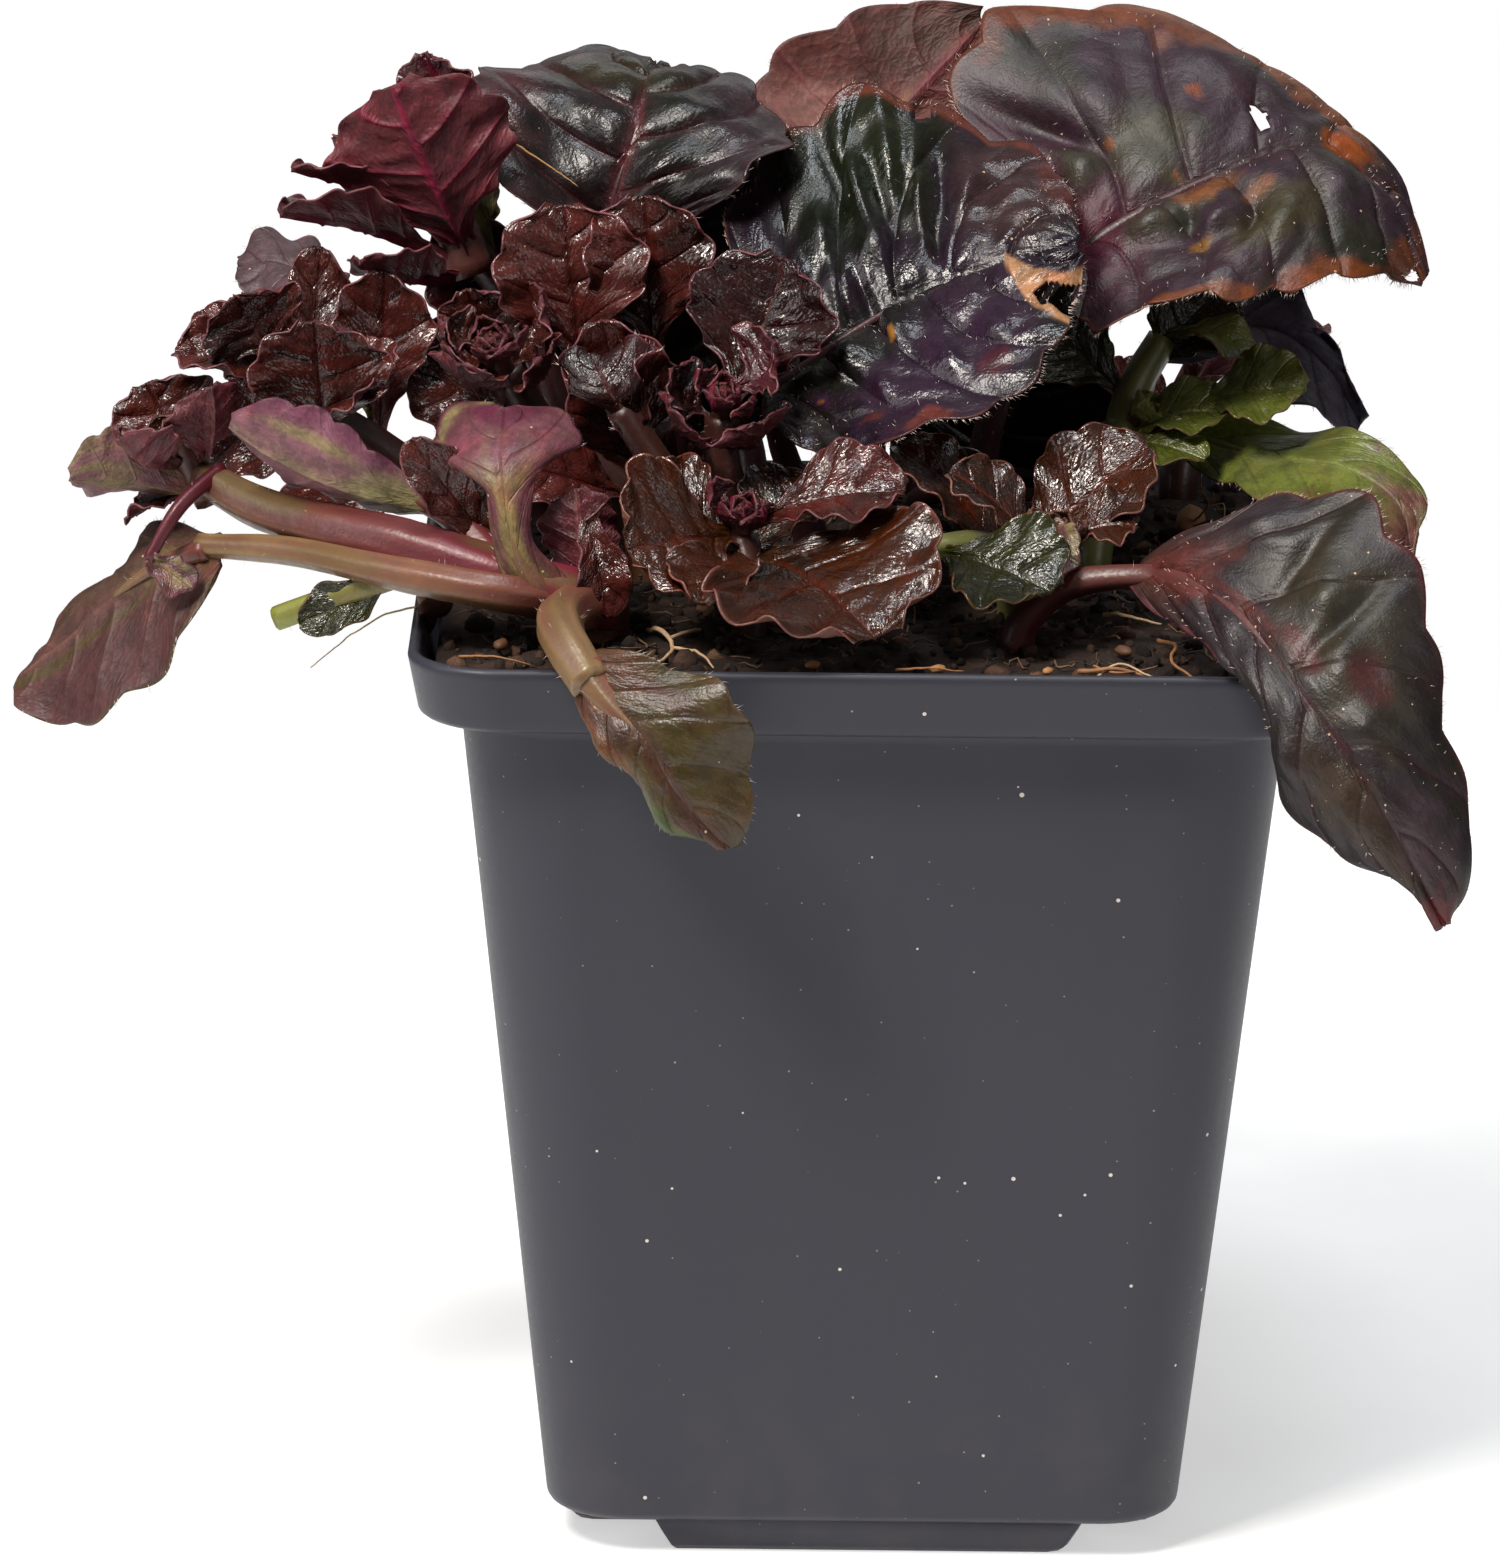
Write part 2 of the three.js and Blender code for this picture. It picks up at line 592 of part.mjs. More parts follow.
const shoots = {
  shoot_upper_left: {
    colour: 0x5a2030,
    stems: [
      { foot: [-28, 8], run: [[-31, 9, 106], [-36, 9, 118], [-42, 7, 126]], girth: 2.2, end: 1.6 },
    ],
    rosettes: [{
      at: [-42, 7, 127],
      axis: [-0.35, 0.1, 1],
      pairs: 0,
      length: 12,
      seed: 11,
      leaves: [
        {
          from: [-40, 6, 123], to: [-48, 0, 142], wide: 15, arch: -2, face: TOWARDS_BACK,
          scallops: 4,
        },
        { to: [-45, 12, 143], wide: 8, arch: -1.5 },
        { from: [-38, 8, 122], to: [-44, 15, 136], wide: 7, arch: -1.5, face: [-0.6, 0.6, 0.2] },
        { to: [-54, 9, 135], wide: 9, arch: -1.5 },
        { to: [-58, 2, 133], wide: 6, arch: 1 },
        { to: [-59, -1, 129], wide: 8, arch: 1, cup: 0.5 },
        { to: [-46, 21, 134], wide: 10, arch: 1 },
        { to: [-51, -4, 125], wide: 8, arch: -1 },
      ],
    }],
    leaves: [
      { from: [-32, 9, 108], to: [-46, 7, 115], wide: 8, arch: 1, face: TOWARDS_FRONT },
      { from: [-34, 9, 112], to: [-43, 10, 126], wide: 9, arch: -1, face: TOWARDS_FRONT },
    ],
  },
  shoot_left: {
    colour: 0x3a1f1c,
    stems: [
      { foot: [-36, -4], run: [[-40, -5, 99], [-48, -6, 106], [-56, -6, 111]], girth: 2.2, end: 1.8 },
    ],
    rosettes: [{
      at: [-56, -6, 111],
      axis: [-0.3, -0.5, 1],
      pairs: 0,
      length: 10.8,
      seed: 23,
      leaves: [
        {
          from: [-54, -8, 108], to: [-55, -13, 121], wide: 11, arch: 1, face: TOWARDS_FRONT,
          scallops: 4,
        },
        { to: [-63, -9, 122.5], wide: 9, arch: -1, face: TOWARDS_FRONT },
        { to: [-55, 1, 125.5], wide: 5, arch: -1, face: TOWARDS_FRONT },
        { to: [-62, 1, 120], wide: 10, arch: -1, face: [0.3, -1, 0.3] },
        { from: [-49, -6, 107], to: [-48.5, -3, 124], wide: 8, arch: -1.5, face: TOWARDS_FRONT },
        { to: [-47, -12, 116], wide: 8, arch: 1 },
        { to: [-67, 5, 118], wide: 6, arch: 1 },
        { to: [-69, -8, 116.5], wide: 7, arch: 1, cup: 0.5 },
      ],
    }],
    leaves: [
      { from: [-49.5, -4, 107], to: [-51.5, 0.5, 121], wide: 4.5, arch: -1, face: TOWARDS_FRONT },
      { from: [-50, -5, 107], to: [-61, 3, 112.5], wide: 6, arch: -1, face: TOWARDS_FRONT },
      { from: [-52, -6, 107.5], to: [-67, -2, 107.5], wide: 8, arch: 1, face: TOWARDS_FRONT },
      { from: [-45, -6, 104], to: [-59, -9, 98.5], wide: 7, arch: 1, face: TOWARDS_FRONT },
    ],
  },
  shoot_crown: {
    colour: 0x7a3a48,
    stems: [
      { foot: [-27, -27], run: [[-27, -28, 98]], girth: 3.6, end: 3 },
      {
        run: [[-26, -28, 96.5], [-32, -31, 98.5], [-46, -27, 102], [-60, -17, 103], [-66, -12, 105]],
        girth: 3, end: 1.8,
      },
      {
        run: [[-28, -28, 96.5], [-36, -34, 99], [-47, -30, 100], [-57, -22, 100], [-66, -16, 99]],
        girth: 2, end: 1.2,
      },
      {
        run: [[-28, -28, 96.5], [-30, -37, 97.5], [-30, -44, 97.5], [-27, -50, 94]], girth: 2.6,
        end: 2,
      },
      { run: [[-28, -28, 96], [-34, -31, 99], [-42, -25, 105], [-52, -22, 108]], girth: 2, end: 1 },
      { run: [[-64, -13, 106], [-68, -17, 103], [-71, -18.5, 98]], girth: 0.9, end: 0.6 },
      { run: [[-44, -29, 100], [-52, -26, 96.5], [-58, -23, 93.5]], girth: 1.2, end: 1.3 },
    ],
    rosettes: [{
      at: [-67, -12, 106],
      axis: [-0.5, -0.2, 1],
      length: 8,
      seed: 31,
      leaves: [
        { to: [-72, -6, 113], wide: 9, arch: -1, face: TOWARDS_FRONT },
        { to: [-74, -17, 110], wide: 7, arch: -1, cup: 0.6 },
        { to: [-65, -16, 115], wide: 7, arch: -1, face: [-0.6, 0.8, 0.2] },
        { to: [-79, -14, 105], wide: 7, arch: 0.5, cup: 0.6, face: [0, 0.8, 0.5], waist: 0.5 },
        { to: [-73, -8, 100], wide: 6, arch: 1 },
      ],
    }],
    drawn: [
      {
        petiole: [],
        rib: [[-64, -17, 99], [-70, -14, 96], [-75, -12, 92], [-80, -10, 87], [-86, -8, 82]],
        left: [[-64, -15, 100], [-70, -8, 99], [-76, -3, 93], [-81, -2, 87], [-86, -6, 82]],
        right: [[-64, -18, 97], [-67, -20, 92], [-70, -20, 88], [-78, -16, 81], [-85, -10, 81]],
        girth: 1.2,
        scallops: 4,
        columns: 2,
      },
      {
        petiole: [],
        rib: [[-28, -48, 96], [-26, -51, 93], [-22, -54, 90], [-19, -55, 85], [-14, -54, 79]],
        left: [[-26, -48, 97], [-19, -52, 96], [-14, -54, 94], [-12, -54, 87], [-13, -53, 79]],
        right: [[-29, -49, 95], [-28, -51, 91], [-25, -53, 88], [-20, -54, 82], [-15, -54, 79]],
        girth: 2,
        scallops: 4,
        columns: 2,
      },
      {
        petiole: [[-29, -29, 96]],
        rib: [[-32, -33, 98], [-35, -34, 104], [-36, -32, 111], [-36, -24, 115]],
        left: [
          [-34, -33, 97], [-37, -33, 104], [-38, -31, 110], [-43, -27, 111], [-41, -22, 114],
          [-37, -22, 115],
        ],
        right: [
          [-29, -32, 99], [-33, -33, 104], [-33, -31, 110], [-29, -27, 112], [-31, -22, 114],
          [-35, -22, 115],
        ],
        girth: 2,
        scallops: 4,
        ruffle: 0.3,
      },
    ],
    leaves: [
      {
        from: [-42, -25, 105], to: [-63, -20, 112], wide: 9, arch: -2, cup: 0.5,
        face: [0, 0.8, 0.6], waist: 0.5,
      },
      { from: [-46, -29, 99], to: [-56, -27, 94], wide: 4, arch: -1, face: [0, -1, 0.4] },
      {
        from: [-71, -18.5, 98.4], to: [-66.5, -20, 95.5], wide: 3, arch: -0.5, face: [0, -1, 0.4],
        waist: 0.5,
      },
      { from: [-28, -28, 97], to: [-29, -28, 108], wide: 6, arch: -1, face: [0, 1, 0.2], waist: 0.7 },
      {
        from: [-28, -28, 105], to: [-26, -32, 96], wide: 4.5, arch: 1, face: [0.4, -1, 0.3],
        waist: 0.4,
      },
      { from: [-38, -27, 103], to: [-45, -29, 113], wide: 4.5, arch: 1, face: [0, -1, 0.2], waist: 0.6 },
    ],
  },
  shoot_cup: {
    colour: 0x45231f,
    stems: [
      {
        foot: [-22, -4], run: [[-25, -3, 101], [-33, -2, 108], [-36.5, -3, 114]], girth: 2.2,
        end: 1.8,
      },
      { run: [[-24, -3, 99], [-28, -1, 106], [-29, 0, 113]], girth: 1.6, end: 1.1 },
      { run: [[-23, -4, 98], [-22, 0, 106], [-22, 2, 115]], girth: 1.6, end: 1.1 },
    ],
    rosettes: [{
      at: [-37, -4, 114.5],
      axis: [-0.2, -0.7, 1],
      length: 8.7,
      seed: 41,
      leaves: [
        { to: [-42.5, -9, 118], wide: 7.5, arch: -1 },
        { to: [-40.5, 0, 121.5], wide: 7, arch: -1, face: TOWARDS_FRONT },
        { to: [-33, -4, 122.5], wide: 8, arch: -1.5, face: [-0.8, -0.4, 0.3] },
        { to: [-41, -11, 116.5], wide: 7, arch: -1.5 },
        { to: [-32, -10, 117.5], wide: 6, arch: -1 },
      ],
    }],
    leaves: [
      {
        from: [-29, 0, 112], to: [-31, 1, 130], wide: 12, arch: 1, face: TOWARDS_FRONT,
        scallops: 4,
      },
      {
        from: [-22, 2, 114], to: [-23, 1, 131], wide: 10, arch: 1, face: TOWARDS_FRONT,
        scallops: 4,
      },
      { from: [-22, -4, 101], to: [-27, -11, 121], wide: 9, arch: 1, face: TOWARDS_FRONT },
      { from: [-24, -4, 101], to: [-36, -10, 106], wide: 7, arch: 1, face: [0, -0.8, 0.6] },
      { from: [-30, -2.5, 106.5], to: [-46, -2, 114], wide: 8, arch: 1, face: TOWARDS_FRONT },
    ],
  },
  shoot_middle: {
    colour: 0x431d20,
    stems: [
      {
        foot: [-13, -14], run: [[-13, -14, 100], [-15, -14, 108], [-15, -14, 112]], girth: 2,
        end: 1.6,
      },
      { run: [[-13, -14, 98], [-18, -15, 103], [-25, -15, 113]], girth: 1.8, end: 1.4 },
    ],
    rosettes: [{
      at: [-15, -14, 112],
      axis: [0.1, -0.6, 1],
      length: 7,
      seed: 53,
      leaves: [
        { to: [-9, -9, 127], wide: 12, arch: -1, face: [-0.3, -1, 0.3], scallops: 4 },
        { to: [-10, -16, 120], wide: 9, arch: -1.5, face: [-0.8, -0.5, 0.4] },
        { to: [-11, -20, 113], wide: 8, arch: -1.5 },
        { to: [-20, -15, 117], wide: 6, arch: -1 },
        { to: [-20, -19, 114], wide: 6, arch: -1 },
      ],
    }],
    drawn: [
      {
        petiole: [],
        rib: [[-23, -15, 111], [-26, -16, 115], [-28, -13, 118]],
        left: [[-24, -15, 110], [-28, -15, 114], [-31, -13, 117], [-28, -12, 118]],
        right: [[-22, -15, 112], [-23, -16, 117], [-22, -13, 119], [-27, -12, 118]],
        girth: 1.6,
        scallops: 3,
        columns: 2,
      },
    ],
  },
  shoot_front: {
    colour: 0x4a2a20,
    stems: [{ foot: [-12, -26], run: [[-12, -25, 98], [-13, -23, 102]], girth: 2, end: 1.6 }],
    rosettes: [{
      at: [-13, -23, 102],
      axis: [0, -0.5, 1],
      length: 7.7,
      seed: 61,
      leaves: [
        { to: [-24, -33, 103], wide: 13, arch: 1, face: [0, -0.8, 0.6] },
        { to: [-23, -22, 106.5], wide: 9, arch: 0.5 },
        { to: [3, -26, 107.5], wide: 9, arch: 1.5 },
        { to: [0, -43, 97], wide: 19, arch: 2.5, scallops: 4 },
        { to: [-6, -15, 106], wide: 8, arch: 1 },
        { to: [-17, -38, 99], wide: 7, arch: 1.5 },
      ],
    }],
  },
  shoot_right: {
    colour: 0x45251f,
    stems: [
      { foot: [14, -19], run: [[14, -20, 97], [17, -24, 100]], girth: 2, end: 1.6 },
      { run: [[15, -21, 99], [10, -25, 102], [5, -27, 102]], girth: 1.6, end: 1.2 },
    ],
    rosettes: [{
      at: [17, -24, 101],
      axis: [0.2, -0.4, 1],
      length: 6.8,
      seed: 71,
      leaves: [
        { from: [14, -20, 98], to: [27, -17, 110], wide: 10, arch: 1.5 },
        { to: [7, -24, 109], wide: 7, arch: 1 },
        {
          from: [15, -22, 103], to: [17, -32, 100], wide: 6, arch: 1.5, face: [0, -0.8, 0.6],
          waist: 0.6,
        },
        { from: [6, -27, 101.5], to: [17, -36, 100], wide: 10, arch: 1, face: [0, -0.6, 0.8] },
        { to: [25.5, -25, 104], wide: 7, arch: 1 },
        { from: [13, -20, 98], to: [2, -17, 110], wide: 8, arch: 1.5 },
      ],
    }],
  },
  shoot_small_green: {
    colour: 0x5d8a2a,
    stems: [
      { foot: [22, -1], run: [[23, 2, 100], [25, 6, 107]], girth: 1.8, end: 1.6 },
      { run: [[24, 4, 103], [26, 8, 110], [29, 10, 115]], girth: 1.8, end: 1.5 },
    ],
    rosettes: [{
      at: [25, 6, 107],
      axis: [0.8, -0.3, 0.6],
      pairs: 0,
      length: 7,
      seed: 83,
      leaves: [
        { from: [29, 10, 115], to: [38, 7, 113], wide: 5, arch: 2, face: [0, -0.3, 1] },
        { to: [36, 3, 109], wide: 6, arch: 1.5, face: [0, -0.6, 1] },
        { from: [32, 6, 109], to: [43, 1, 112], wide: 7, arch: 1, face: [0, -0.8, 0.8] },
        { to: [33, -1, 105], wide: 5, arch: 1.5, face: [0, -0.6, 1] },
      ],
    }],
    leaves: [
      { from: [25.5, 8.5, 109], to: [15, 11, 119], wide: 8, arch: 0, face: TOWARDS_FRONT },
      { from: [27, 9.5, 112], to: [35, 13, 120], wide: 8, arch: 1, face: TOWARDS_FRONT },
    ],
  },
  shoot_back_left: {
    colour: 0x40221f,
    stems: [{ foot: [-28, 32], run: [[-29, 34, 100], [-32, 36, 108]], girth: 2.2, end: 1.8 }],
    rosettes: [{
      at: [-32, 36, 109],
      axis: [-0.4, 0.5, 1],
      length: 10,
      seed: 97,
      leaves: [
        { to: [-46, 38, 114], wide: 12, arch: 2 },
        { to: [-40, 49, 110], wide: 12, arch: 2, scallops: 2 },
        { to: [-27, 42, 121], wide: 8, arch: 1 },
        { to: [-38, 27, 118], wide: 9, arch: 1 },
      ],
    }],
    leaves: [
      { from: [-28.5, 33, 98], to: [-17, 29, 105], wide: 9, arch: 1.5, face: [0, -0.5, 0.9] },
      { from: [-29, 33, 99], to: [-42, 26, 104], wide: 9, arch: 1.5, face: [0, -0.5, 0.9] },
    ],
  },
  shoot_back_middle: {
    colour: 0x40221f,
    stems: [{ foot: [4, 34], run: [[4, 36, 99], [4, 39, 104]], girth: 2, end: 1.6 }],
    rosettes: [{
      at: [4, 40, 105],
      axis: [0, 0.5, 1],
      length: 9,
      seed: 107,
      leaves: [
        { to: [5, 57, 107], wide: 14, arch: 2.5 },
        { to: [-7, 42, 111], wide: 8, arch: 1 },
        { to: [14, 40, 112], wide: 8, arch: 1 },
        { to: [2, 31, 112], wide: 8, arch: 1 },
      ],
    }],
    leaves: [
      { from: [4, 35, 97], to: [-8, 30, 105], wide: 9, arch: 1.5, face: [0, -0.5, 0.9] },
      { from: [4, 35, 98], to: [13, 27, 105], wide: 8, arch: 1.5, face: [0, -0.5, 0.9] },
    ],
  },
  shoot_back_right: {
    colour: 0x40221f,
    stems: [{ foot: [32, 35], run: [[33, 37, 99], [34, 39, 105]], girth: 2, end: 1.6 }],
    rosettes: [{
      at: [34, 39, 106],
      axis: [0.4, 0.4, 1],
      length: 9,
      seed: 101,
      leaves: [
        { to: [47, 35, 109], wide: 11, arch: 2 },
        { to: [46, 48, 106], wide: 10, arch: 2, scallops: 2 },
        { to: [36, 29, 112], wide: 8, arch: 1 },
      ],
    }],
    leaves: [{ from: [32.5, 36, 98], to: [23, 31, 105], wide: 8, arch: 1.5, face: [0, -0.5, 0.9] }],
  },
};

const plant = new THREE.Group();

function addPiece(name, geometry, colour, roughness) {
  const material = new THREE.MeshStandardMaterial({ color: colour, roughness, metalness: 0 });
  const mesh = new THREE.Mesh(geometry, material);
  mesh.name = name;
  plant.add(mesh);
}

for (const [name, leaf] of Object.entries(largeLeaves)) {
  addPiece(name, fromSolid(joined(largeLeaf(leaf))), leaf.colour, 0.4);
}

for (const [name, shoot] of Object.entries(shoots)) {
  const { stems, rosettes, drawn = [], leaves = [] } = shoot;
  const parts = [
    ...stems.map(({ foot, run, girth, end }) => (
      foot ? rootedStalk(foot, run, girth, end, ROOTED_STEPS) : stalk(run, girth, end, BRANCH_STEPS))),
    ...rosettes.flatMap(rosette),
    ...drawn.flatMap(largeLeaf),
    ...leaves.map(smallLeaf),
  ];
  addPiece(name, fromSolid(joined(parts)), shoot.colour, 0.4);
}

// Soil: a block that follows the inside of the pot, with a crumbled, slightly heaped top

function soil() {
  const random = seeded(7);
  const rim = COLLAR_FOOT_WIDTH - 2 * WALL - 2 * GAP;
  const shelf = bodyWidth(collarZ) - 2 * WALL - 3 * GAP;
  const ring = (width, corner, z) => squareRing(width, corner, z, SOIL_CORNER_STEPS);
  const rings = [
    ring(bodyWidth(floorZ) - 2 * WALL - 2 * GAP, BODY_FOOT_CORNER - WALL, floorZ + GAP),
    ring(shelf, BODY_TOP_CORNER - WALL, collarZ + WALL - SHELF_SLOPE),
    ring(rim, RIM_CORNER - WALL, collarZ + WALL + GAP),
    ring(rim, RIM_CORNER - WALL, SOIL_LEVEL - SOIL_EDGE_DROP),
  ];
  for (const scale of SOIL_RINGS) {
    const height = SOIL_LEVEL + SOIL_MOUND * (1 - scale ** 2);
    const crumbled = ring(rim * scale, RIM_CORNER * scale, height);
    crumbled.forEach((p) => { p.z += SOIL_CRUMB * (random() * 2 - 1); });
    rings.push(crumbled);
  }
  let block = toSolid(loft(rings));
  for (const { x, y, radius } of feet) {
    const around = (radius + HOLE_PLAY) / Math.cos(Math.PI / HOLE_SIDES);
    const depth = ROOTING + GAP;
    const length = depth + HOLE_ABOVE;
    const hole = new THREE.CylinderGeometry(around, around, length, HOLE_SIDES);
    hole.rotateX(Math.PI / 2).translate(x, y, SOIL_LEVEL - depth + length / 2);
    block = block.subtract(toSolid(hole));
  }
  return fromSolid(block);
}

addPiece('pot', pot(), 0x48464b, 0.5);
addPiece('soil', soil(), 0x1c1512, 0.95);

export default plant;
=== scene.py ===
"""Potted bugleweed in a square nursery pot, dressed for the photograph's view."""
import itertools
import math

import bpy
import numpy as np
from mathutils import Matrix, Vector


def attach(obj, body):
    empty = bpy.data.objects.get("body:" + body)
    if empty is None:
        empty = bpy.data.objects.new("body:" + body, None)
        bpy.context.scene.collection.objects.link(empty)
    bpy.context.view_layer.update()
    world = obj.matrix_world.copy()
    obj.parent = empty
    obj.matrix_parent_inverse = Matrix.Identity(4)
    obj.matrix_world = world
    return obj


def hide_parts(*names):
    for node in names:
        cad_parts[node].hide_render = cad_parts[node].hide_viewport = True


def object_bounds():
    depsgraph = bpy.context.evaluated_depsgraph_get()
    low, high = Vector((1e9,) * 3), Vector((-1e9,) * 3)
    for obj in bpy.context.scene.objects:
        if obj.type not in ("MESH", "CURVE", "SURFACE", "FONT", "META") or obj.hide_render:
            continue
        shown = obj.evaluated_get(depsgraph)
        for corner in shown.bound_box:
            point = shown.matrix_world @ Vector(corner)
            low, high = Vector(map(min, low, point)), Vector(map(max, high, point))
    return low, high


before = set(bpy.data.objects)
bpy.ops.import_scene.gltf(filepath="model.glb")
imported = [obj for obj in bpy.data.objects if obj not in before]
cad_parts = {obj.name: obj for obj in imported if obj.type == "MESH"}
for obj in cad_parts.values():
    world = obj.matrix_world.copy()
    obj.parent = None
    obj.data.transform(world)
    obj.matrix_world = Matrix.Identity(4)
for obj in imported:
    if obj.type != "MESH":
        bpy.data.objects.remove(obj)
cad_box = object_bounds()

# Everything below is in millimetres, as the solids are; meshes are made in metres
MM = 0.001
BOX_LOW, BOX_HIGH = np.array(cad_box) / MM
FINE = 1.0

# The view that the photograph was taken from
CAMERA_TARGET = (-11.9, 0, 71.4)
CAMERA_DISTANCE = 1000
CAMERA_ELEVATION = math.radians(15)
CAMERA_ROLL = math.radians(-0.6)
CAMERA_LENS = 230
CAMERA_SENSOR = 36

# The pot, as in the solids
RIM_WIDTH = 90
RIM_CORNER = 9
RIM_ROUND = 0.6
POT_HEIGHT = 94
COLLAR_HEIGHT = 6.5
COLLAR_FOOT_WIDTH = 87.8
BODY_TOP_WIDTH = 80.4
BODY_TOP_CORNER = 11
BODY_FOOT_WIDTH = 63
BODY_FOOT_CORNER = 8
BODY_EDGE = 1.5
WALL = 1.2
FOOT_HEIGHT = 3.6
FOOT_ARM = 45
FOOT_ARM_BASE = 41
FOOT_REACH = 59.5
FOOT_REACH_BASE = 58
FOOT_CORNER = 1.6
DRAIN_RADIUS = 2.3
DRAIN_PLACE = 25
DRAIN_CUT = 8
BODY_LOW = FOOT_HEIGHT + BODY_EDGE
COLLAR_LOW = POT_HEIGHT - COLLAR_HEIGHT
FLOOR_TOP = FOOT_HEIGHT + WALL

# The soil, as in the solids, and its fine relief
GAP = 0.3
SOIL_LEVEL = 92.2
SOIL_MOUND = 1.6
SOIL_GRAIN = 0.75
ROOTING = 8
NECK_BELOW = 2
NECK_ABOVE = 2.5

# Leaves and stems, as in the solids
SCALLOP = 0.09
LARGE_WAVES = 2.5
SMALL_WAVES = 2
NARROW_LEAF = 8.5
WAIST = 0.16
WIDEST = 0.6
RIB_SINK = 0.5
RIB_PLACES = (0.04, 0.12, 0.28, 0.45)
PETIOLE_GIRTH = 2
PETIOLE_END = 0.3
CORE = 0.22
CORE_LENGTH = 2
BASE_PLACE = 0.7
ASKEW = (0.31, 0.17, 0.93)
TOWARDS_FRONT = (0, -1, 0.35)
TOWARDS_BACK = (0, 1, 0.1)

# What is finer here than in the solids
BLADE = 0.34
BASE_BLADE = 0.55
TIP_END = 0.992
EDGE_PACKING = math.pi / 2 * 0.86
STEM_RIBS = 4
STEM_SIDES = 14
RIB_HEIGHT = 0.07
MANY_RIBS_HEIGHT = 0.045
VEIN_SWEEP = 0.26
VEIN_STAGGER = 0.22
SMALL_SCALLOP = 0.11
SMALL_LATERALS = 4
MARGIN_LOBES = 6
FEWER_LOBES = 4
LARGE_RUFFLE = 0.8
SMALL_RUFFLE = 0.5
CRINKLE = 0.035
KEEL = 0.55
CORE_SIDES = 10
HEART_LEAVES = 7
HEART_TURN = 2.4

# Hairs: their length, how deep they stand, how thick they are, and how many a stem has per millimetre
HAIR_LENGTH = 0.9
HAIR_SINK = 0.15
MARGIN_HAIR = 0.045
FACE_HAIR = 0.05
STEM_HAIR = 0.03
LEAF_FUZZ = 1
SHOOT_FUZZ = 0.8

# Small leaves are this much wider than the width given for them, and pucker this much more
FULLNESS = 1.2
YOUNG_RELIEF = 1.5

# Swellings between the veins, per side vein along and across the leaf, and how high they are
YOUNG_QUILT = (1.7, 1.0)
BROAD_QUILT = (1.1, 0.9)
QUILT_SHIFT = (40, 3)
YOUNG_CUSHION = 0.4
BROAD_CUSHION = 0.5

# How near to the box of the solids a point starts to be held back
EASE = 1.5

# The part of a colour seen on a leaf that is its own, without the gloss on it, and how much
# further from grey it is
OWN_SHARE = 0.66
DEPTH = 1.3

# The first seed of the large leaves and of the shoots, each with the step to the next
LEAF_SEED, LEAF_SEED_STEP = 101, 7
SHOOT_SEED, SHOOT_SEED_STEP = 301, 97
SOIL_SEED = 5

# The floor, and the height in metres that the lights face
FLOOR_SIZE = 0.6
LIGHT_AIM = 0.08

# The number of each plant material in a piece's list, and of each material of the peat
BROAD_FACE, BACK, SKIN, HAIRS, YOUNG_FACE = range(5)
CRUMB, FIBRE = range(2)


def srgb(red, green, blue):
    """A linear colour from the values 0 to 255 of a screen colour."""
    return np.array([c / 255 / 12.92 if c <= 10 else ((c / 255 + 0.055) / 1.055) ** 2.4
                     for c in (red, green, blue)])


# Leaf that has dried beside a tear, the hairs of leaves and stems, the pot and the peat
DRY = srgb(178, 140, 112)
HAIR = srgb(222, 204, 192)
POT_TONE = srgb(48, 48, 57)
DEEP_PEAT = srgb(38, 27, 22)
PEAT = srgb(64, 46, 36)


def leaf_look(gloss, pucker, *colours):
    """How a kind of leaf looks: its gloss from 0 to 1, how strongly its blade puckers, and the screen
    colours of its parts; the last part may be missing."""
    parts = ("face", "deep", "base", "margin", "vein", "back", "back_vein", "streak")
    return {"gloss": gloss, "pucker": pucker, **{part: srgb(*c) for part, c in zip(parts, colours)}}


def stem_look(foot, end, groove, flush=None, ribs=STEM_RIBS):
    """How a kind of stem looks: the screen colours of its foot, its end, its grooves and the flush
    in between, and the number of its ribs."""
    look = {"foot": srgb(*foot), "end": srgb(*end), "groove": srgb(*groove), "ribs": ribs}
    return {**look, "flush": srgb(*flush)} if flush else look


